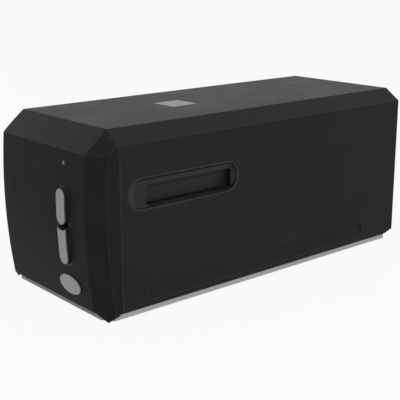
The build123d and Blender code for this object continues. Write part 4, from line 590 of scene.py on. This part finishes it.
def small_parts_tree():
    """Small soldered parts on a regular grid, some places left free."""
    tree, given, end = new_tree(
        "Soldered parts",
        "GeometryNodeTree",
        [
            ("Width", "NodeSocketFloat", 0.06),
            ("Depth", "NodeSocketFloat", 0.02),
            ("Columns", "NodeSocketInt", 14),
            ("Rows", "NodeSocketInt", 6),
            ("Share", "NodeSocketFloat", 0.5),
            ("Seed", "NodeSocketInt", 0),
            ("Part Size", "NodeSocketVector", SOLDERED_PART),
            ("Place", "NodeSocketVector", (0, 0, 0)),
            ("Turn", "NodeSocketRotation", None),
            ("Material", "NodeSocketMaterial", None),
        ],
        [("Geometry", "NodeSocketGeometry")],
    )
    grid = add_node(
        tree,
        "GeometryNodeMeshGrid",
        {
            "Size X": given["Width"],
            "Size Y": given["Depth"],
            "Vertices X": given["Columns"],
            "Vertices Y": given["Rows"],
        },
    )
    chosen = add_node(
        tree,
        "FunctionNodeRandomValue",
        {"Probability": given["Share"], "Seed": given["Seed"]},
        data_type="BOOLEAN",
    )
    body = add_node(tree, "GeometryNodeMeshCube", {"Size": given["Part Size"]})
    parts = add_node(
        tree,
        "GeometryNodeInstanceOnPoints",
        {"Points": grid.outputs[0], "Selection": chosen.outputs[3], "Instance": body.outputs[0]},
    )
    real = add_node(tree, "GeometryNodeRealizeInstances", {"Geometry": parts.outputs[0]})
    placed = add_node(
        tree,
        "GeometryNodeTransform",
        {"Geometry": real.outputs[0], "Translation": given["Place"], "Rotation": given["Turn"]},
    )
    close_tree(tree, placed.outputs[0], given["Material"], end)
    return tree


# ---- operators ----

class FILMSCANNER_OT_groups(Operator):
    """Build the shader groups that the materials share"""
    bl_idname = "film_scanner.groups"
    bl_label = "Shared surface effects"

    def execute(self, context):
        for build in (grain_group, marks_group, wear_group, dust_group, tracks_group):
            build()
        return {"FINISHED"}


class FILMSCANNER_OT_casing(Operator):
    """Finish the housing, bezel, rear panel, badge, tray and feet"""
    bl_idname = "film_scanner.casing"
    bl_label = "Casing"

    def execute(self, context):
        casing = context.scene.scanner_casing
        moulded = {
            "grain": casing.grain, "relief": casing.relief, "dust": casing.dust,
            "Specular_IOR_Level": casing.gloss,
        }
        paint("housing", finish("housing plastic", casing.housing, casing.roughness, **moulded))
        paint("bezel", finish("bezel plastic", casing.bezel, casing.bezel_roughness, **moulded))
        paint("badge", finish("badge lacquer", casing.badge, roughness=0.4, relief=FINE_RELIEF))
        paint("tray", finish("tray plastic", casing.tray, roughness=0.5, **moulded))
        paint("rubber", finish("black rubber", casing.rubber, roughness=0.78, grain=0.0009, relief=0.00006))
        return {"FINISHED"}


class FILMSCANNER_OT_controls(Operator):
    """Finish the scan keys, the power key, their plates and the lamp"""
    bl_idname = "film_scanner.controls"
    bl_label = "Controls"

    def execute(self, context):
        controls = context.scene.scanner_controls
        black = finish(
            "key plastic", controls.key, roughness=0.38, relief=FINE_RELIEF, Specular_IOR_Level=0.2
        )
        paint("key", black)
        paint(
            "key_plate",
            finish(
                "silver lacquer", controls.plate, controls.plate_roughness, grain=0.0003,
                relief=LACQUER_RELIEF, wear=0.5, dust=0.02, Metallic=0.55, Coat_Weight=0.25,
            ),
        )
        clear = finish(
            "lamp lens", controls.lamp_lens, roughness=0.2, relief=LACQUER_RELIEF, dust=0.0,
            Transmission_Weight=0.6,
        )
        paint_node("power_lamp_lens", clear)
        paint_node(
            "lamp_diffuser",
            finish("milky diffuser", controls.diffuser, roughness=0.55, dust=0.0, Transmission_Weight=0.3),
        )
        return {"FINISHED"}


class FILMSCANNER_OT_film_path(Operator):
    """Finish the slot frames, dust doors and guides, and wind the door springs"""
    bl_idname = "film_scanner.film_path"
    bl_label = "Film path"

    def execute(self, context):
        path = context.scene.scanner_film_path
        paint("trim", finish(
            "slot trim plastic", path.trim, roughness=0.33, relief=FINE_RELIEF, wear=0.35,
            Specular_IOR_Level=0.15,
        ))
        paint("guide", finish("guide plastic", path.guide, roughness=0.6, relief=0.00003))
        wire = metal("spring wire", path.spring_steel, roughness=0.3)
        tree = coil_tree()
        for side in ("right", "left"):
            low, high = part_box(f"{side}_door_spring")
            margin = path.spring_wire
            values = {
                "Turns": float(path.spring_turns),
                "Coil Radius": path.spring_radius,
                "Coil Length": high[1] - low[1] - 2 * margin,
                "Wire Radius": path.spring_wire,
                "Place": ((low[0] + high[0]) / 2, low[1] + margin, (low[2] + high[2]) / 2),
            }
            spring = grow(
                f"{side}_spring_coil", bpy.data.meshes.new("coil"), tree, values, wire,
                FIXED_BODY, (f"{side}_door_spring",),
            )
            spring.data.shade_smooth()
        return {"FINISHED"}


class FILMSCANNER_OT_optics(Operator):
    """Finish the mirror, the lens barrel and the lens elements"""
    bl_idname = "film_scanner.optics"
    bl_label = "Optics"

    def execute(self, context):
        optics = context.scene.scanner_optics
        paint("mirror", metal("front mirror", optics.mirror, roughness=0.08))
        paint("barrel", metal("anodised barrel", optics.barrel, roughness=0.36, stretch=(1, 6, 1)))
        glass = finish(
            "lens glass", optics.glass, roughness=0.06, relief=0.0, wear=0.0, dust=0.0,
            Transmission_Weight=1.0, IOR=1.52,
        )
        paint("glass", glass)
        return {"FINISHED"}


class FILMSCANNER_OT_drive(Operator):
    """Finish the metal and gears of the drive, and make the toothed belt"""
    bl_idname = "film_scanner.drive"
    bl_label = "Drive and metalwork"

    def execute(self, context):
        drive = context.scene.scanner_drive
        paint("steel", metal("ground steel", drive.steel, roughness=0.3, stretch=(1, 5, 1)))
        paint("sheet", metal("plated sheet steel", drive.sheet, roughness=0.38, stretch=(1, 1, 6)))
        paint("bush", metal("sintered bronze", drive.bronze, roughness=0.45))
        paint("motor", metal("motor can", drive.motor, roughness=0.34, stretch=(1, 6, 1)))
        paint("gear", finish("gear plastic", drive.gear, roughness=0.42, relief=FINE_RELIEF, dust=0.02))
        low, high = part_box("drive_belt")
        belt = grow(
            "toothed_belt", belt_loop(low, high, drive.belt_radius), belt_tree(),
            {
                "Teeth": drive.belt_teeth,
                "Band": drive.belt_band,
                "Belt Width": high[1] - low[1],
                "Tooth Depth": drive.tooth_depth,
                "Tooth Width": drive.tooth_width,
            },
            bpy.data.materials["black rubber"], FIXED_BODY, ("drive_belt",),
        )
        for axis, (inner, outer) in enumerate(zip(low, high)):
            places = [vertex.co[axis] for vertex in belt.data.vertices]
            if min(places) < inner - BELT_SLACK or max(places) > outer + BELT_SLACK:
                raise RuntimeError("the toothed belt leaves the place of its solid")
        return {"FINISHED"}


def belt_loop(low, high, radius):
    """Closed loop round both pulleys, running to -X on its upper side."""
    middle_y = (low[1] + high[1]) / 2
    middle_z = (low[2] + high[2]) / 2
    reach = (high[0] - low[0] - (high[2] - low[2])) / 2
    points = []
    for side, start in ((1, -90), (-1, 90)):
        for step in range(BELT_ARC_STEPS + 1):
            angle = radians(start + 180 * step / BELT_ARC_STEPS)
            points.append((side * reach + radius * cos(angle), middle_y, middle_z + radius * sin(angle)))
    curve = bpy.data.curves.new("belt_loop", "CURVE")
    curve.dimensions = "3D"
    spline = curve.splines.new("POLY")
    spline.points.add(len(points) - 1)
    for point, place in zip(spline.points, points):
        point.co = (*place, 1.0)
    spline.use_cyclic_u = True
    return curve


class FILMSCANNER_OT_electronics(Operator):
    """Finish the boards and solder small parts on them"""
    bl_idname = "film_scanner.electronics"
    bl_label = "Electronics"

    def execute(self, context):
        board = context.scene.scanner_boards
        paint("board", finish("board lacquer", board.mask, roughness=0.32, tracks=board.copper, wear=0.1))
        black = finish("component plastic", board.component, roughness=0.5, relief=FINE_RELIEF)
        paint("component", black)
        tree = small_parts_tree()
        standing = SOLDERED_PART[2] / 2
        main = {
            "Width": 0.068, "Depth": 0.018, "Columns": 15, "Rows": 6,
            "Share": board.part_share, "Seed": board.part_seed,
            "Place": (0.0, MAIN_PARTS_Y, MAIN_BOARD_TOP + standing),
        }
        grow(
            "main_board_parts", bpy.data.meshes.new("parts"), tree, main, black, FIXED_BODY,
        )
        low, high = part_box("button_board")
        front = {
            "Width": 0.012, "Depth": 0.03, "Columns": 4, "Rows": 8,
            "Share": board.part_share, "Seed": board.part_seed + 1,
            "Place": ((low[0] + high[0]) / 2, high[1] + standing, BUTTON_PARTS_Z),
            "Turn": (pi / 2, 0.0, 0.0),
        }
        grow(
            "button_board_parts", bpy.data.meshes.new("parts"), tree, front, black, FIXED_BODY,
        )
        return {"FINISHED"}


class FILMSCANNER_OT_stage(Operator):
    """Floor, world, lights and the photograph's camera"""
    bl_idname = "film_scanner.stage"
    bl_label = "Stage"

    def execute(self, context):
        stage = context.scene.scanner_stage
        scene = context.scene
        scene.view_settings.view_transform = "Standard"
        self.floor(stage)
        self.world(scene, stage)
        area_light("top light", stage.top_light, size=1.3, place=(0.15, 0.05, 1.25))
        area_light("side light", stage.side_light, size=0.9, place=(1.28, -0.4, 0.45))
        area_light("left light", stage.left_light, size=0.9, place=(-1.3, -0.2, 0.5))
        area_light(
            "front light", stage.front_light, size=0.8, place=(-0.35, -1.2, 0.6), target=BEZEL_TARGET
        )
        camera = bpy.data.objects.new("camera", bpy.data.cameras.new("camera"))
        scene.collection.objects.link(camera)
        camera.data.sensor_width = SENSOR_WIDTH_MM
        camera.data.lens = PHOTO_FOCAL_PIXELS / PHOTO_PIXELS * camera.data.sensor_width
        camera.data.clip_start = CAMERA_CLIP_START
        turn = (
            Matrix.Rotation(CAMERA_AZIMUTH, 4, "Z")
            @ Matrix.Rotation(pi / 2 - CAMERA_ELEVATION, 4, "X")
            @ Matrix.Rotation(CAMERA_ROLL, 4, "Z")
        )
        camera.matrix_world = Matrix.Translation(CAMERA_PLACE) @ turn
        scene.camera = camera
        return {"FINISHED"}

    def floor(self, stage):
        """Round floor that shows plain white to the camera and keeps the shadow."""
        mesh = bpy.data.meshes.new("floor")
        shape = bmesh.new()
        bmesh.ops.create_circle(
            shape, cap_ends=True, segments=64, radius=FLOOR_RADIUS,
            matrix=Matrix.Translation((0, 0, -FLOOR_DROP)),
        )
        shape.to_mesh(mesh)
        shape.free()
        material = bpy.data.materials.new("floor paper")
        material.use_nodes = True
        tree = material.node_tree
        paper = tree.nodes["Principled BSDF"]
        paper.inputs["Base Color"].default_value = (*stage.floor, 1.0)
        paper.inputs["Roughness"].default_value = 0.9
        paper.inputs["Specular IOR Level"].default_value = 0.1
        glow = add_node(tree, "ShaderNodeEmission", {"Strength": 1.0})
        share = math_node(tree, "MULTIPLY", background_ray(tree), stage.floor_glow)
        blend = add_node(
            tree, "ShaderNodeMixShader", {0: share, 1: paper.outputs[0], 2: glow.outputs[0]}
        )
        tree.links.new(blend.outputs[0], tree.nodes["Material Output"].inputs["Surface"])
        mesh.materials.append(material)
        floor = bpy.data.objects.new("floor", mesh)
        bpy.context.scene.collection.objects.link(floor)

    def world(self, scene, stage):
        """Soft light all round, white where the camera or a reflection sees it."""
        world = bpy.data.worlds.new("studio")
        world.use_nodes = True
        tree = world.node_tree
        sky = tree.nodes["Background"]
        sky.inputs["Color"].default_value = (1.0, 1.0, 1.0, 1.0)
        strength = add_node(
            tree,
            "ShaderNodeMapRange",
            {"Value": background_ray(tree), "To Min": stage.world_light, "To Max": 1.0},
        )
        tree.links.new(strength.outputs["Result"], sky.inputs["Strength"])
        scene.world = world


def background_ray(tree):
    """1 for rays from the camera, for mirrored ones and for transmitted ones."""
    path = add_node(tree, "ShaderNodeLightPath").outputs
    seen = math_node(tree, "MAXIMUM", path["Is Camera Ray"], path["Is Transmission Ray"])
    return math_node(tree, "MAXIMUM", seen, path["Is Glossy Ray"])


def area_light(name, watts, size, place, target=LIGHT_TARGET):
    """Square soft light that looks at its target."""
    data = bpy.data.lights.new(name, "AREA")
    data.energy = watts
    data.size = size
    light = bpy.data.objects.new(name, data)
    bpy.context.scene.collection.objects.link(light)
    light.location = place
    light.rotation_euler = (Vector(target) - Vector(place)).to_track_quat("-Z", "Y").to_euler()


class FILMSCANNER_PT_panel(Panel):
    """Lists the scanner's pieces and their values"""
    bl_label = "Film scanner"
    bl_space_type = "VIEW_3D"
    bl_region_type = "UI"
    bl_category = "Film scanner"

    def draw(self, context):
        for operator in OPERATORS:
            self.layout.operator(operator.bl_idname)
        for holder, group in PROPERTY_GROUPS.items():
            values = getattr(context.scene, holder)
            for label in group.__annotations__:
                self.layout.prop(values, label)


PROPERTY_GROUPS = {
    "scanner_casing": CasingFinish,
    "scanner_controls": ControlFinish,
    "scanner_film_path": FilmPathFinish,
    "scanner_optics": OpticsFinish,
    "scanner_drive": DriveFinish,
    "scanner_boards": BoardFinish,
    "scanner_stage": StageFinish,
}
OPERATORS = (
    FILMSCANNER_OT_groups,
    FILMSCANNER_OT_casing,
    FILMSCANNER_OT_controls,
    FILMSCANNER_OT_film_path,
    FILMSCANNER_OT_optics,
    FILMSCANNER_OT_drive,
    FILMSCANNER_OT_electronics,
    FILMSCANNER_OT_stage,
)


def register():
    for holder, group in PROPERTY_GROUPS.items():
        bpy.utils.register_class(group)
        setattr(bpy.types.Scene, holder, PointerProperty(type=group))
    for listed in (*OPERATORS, FILMSCANNER_PT_panel):
        bpy.utils.register_class(listed)


def unregister():
    for listed in (FILMSCANNER_PT_panel, *reversed(OPERATORS)):
        bpy.utils.unregister_class(listed)
    for holder, group in PROPERTY_GROUPS.items():
        delattr(bpy.types.Scene, holder)
        bpy.utils.unregister_class(group)


def main():
    register()
    bpy.ops.film_scanner.groups()
    bpy.ops.film_scanner.casing()
    bpy.ops.film_scanner.controls()
    bpy.ops.film_scanner.film_path()
    bpy.ops.film_scanner.optics()
    bpy.ops.film_scanner.drive()
    bpy.ops.film_scanner.electronics()
    bpy.ops.film_scanner.stage()
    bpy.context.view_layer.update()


if __name__ == "__main__":
    main()
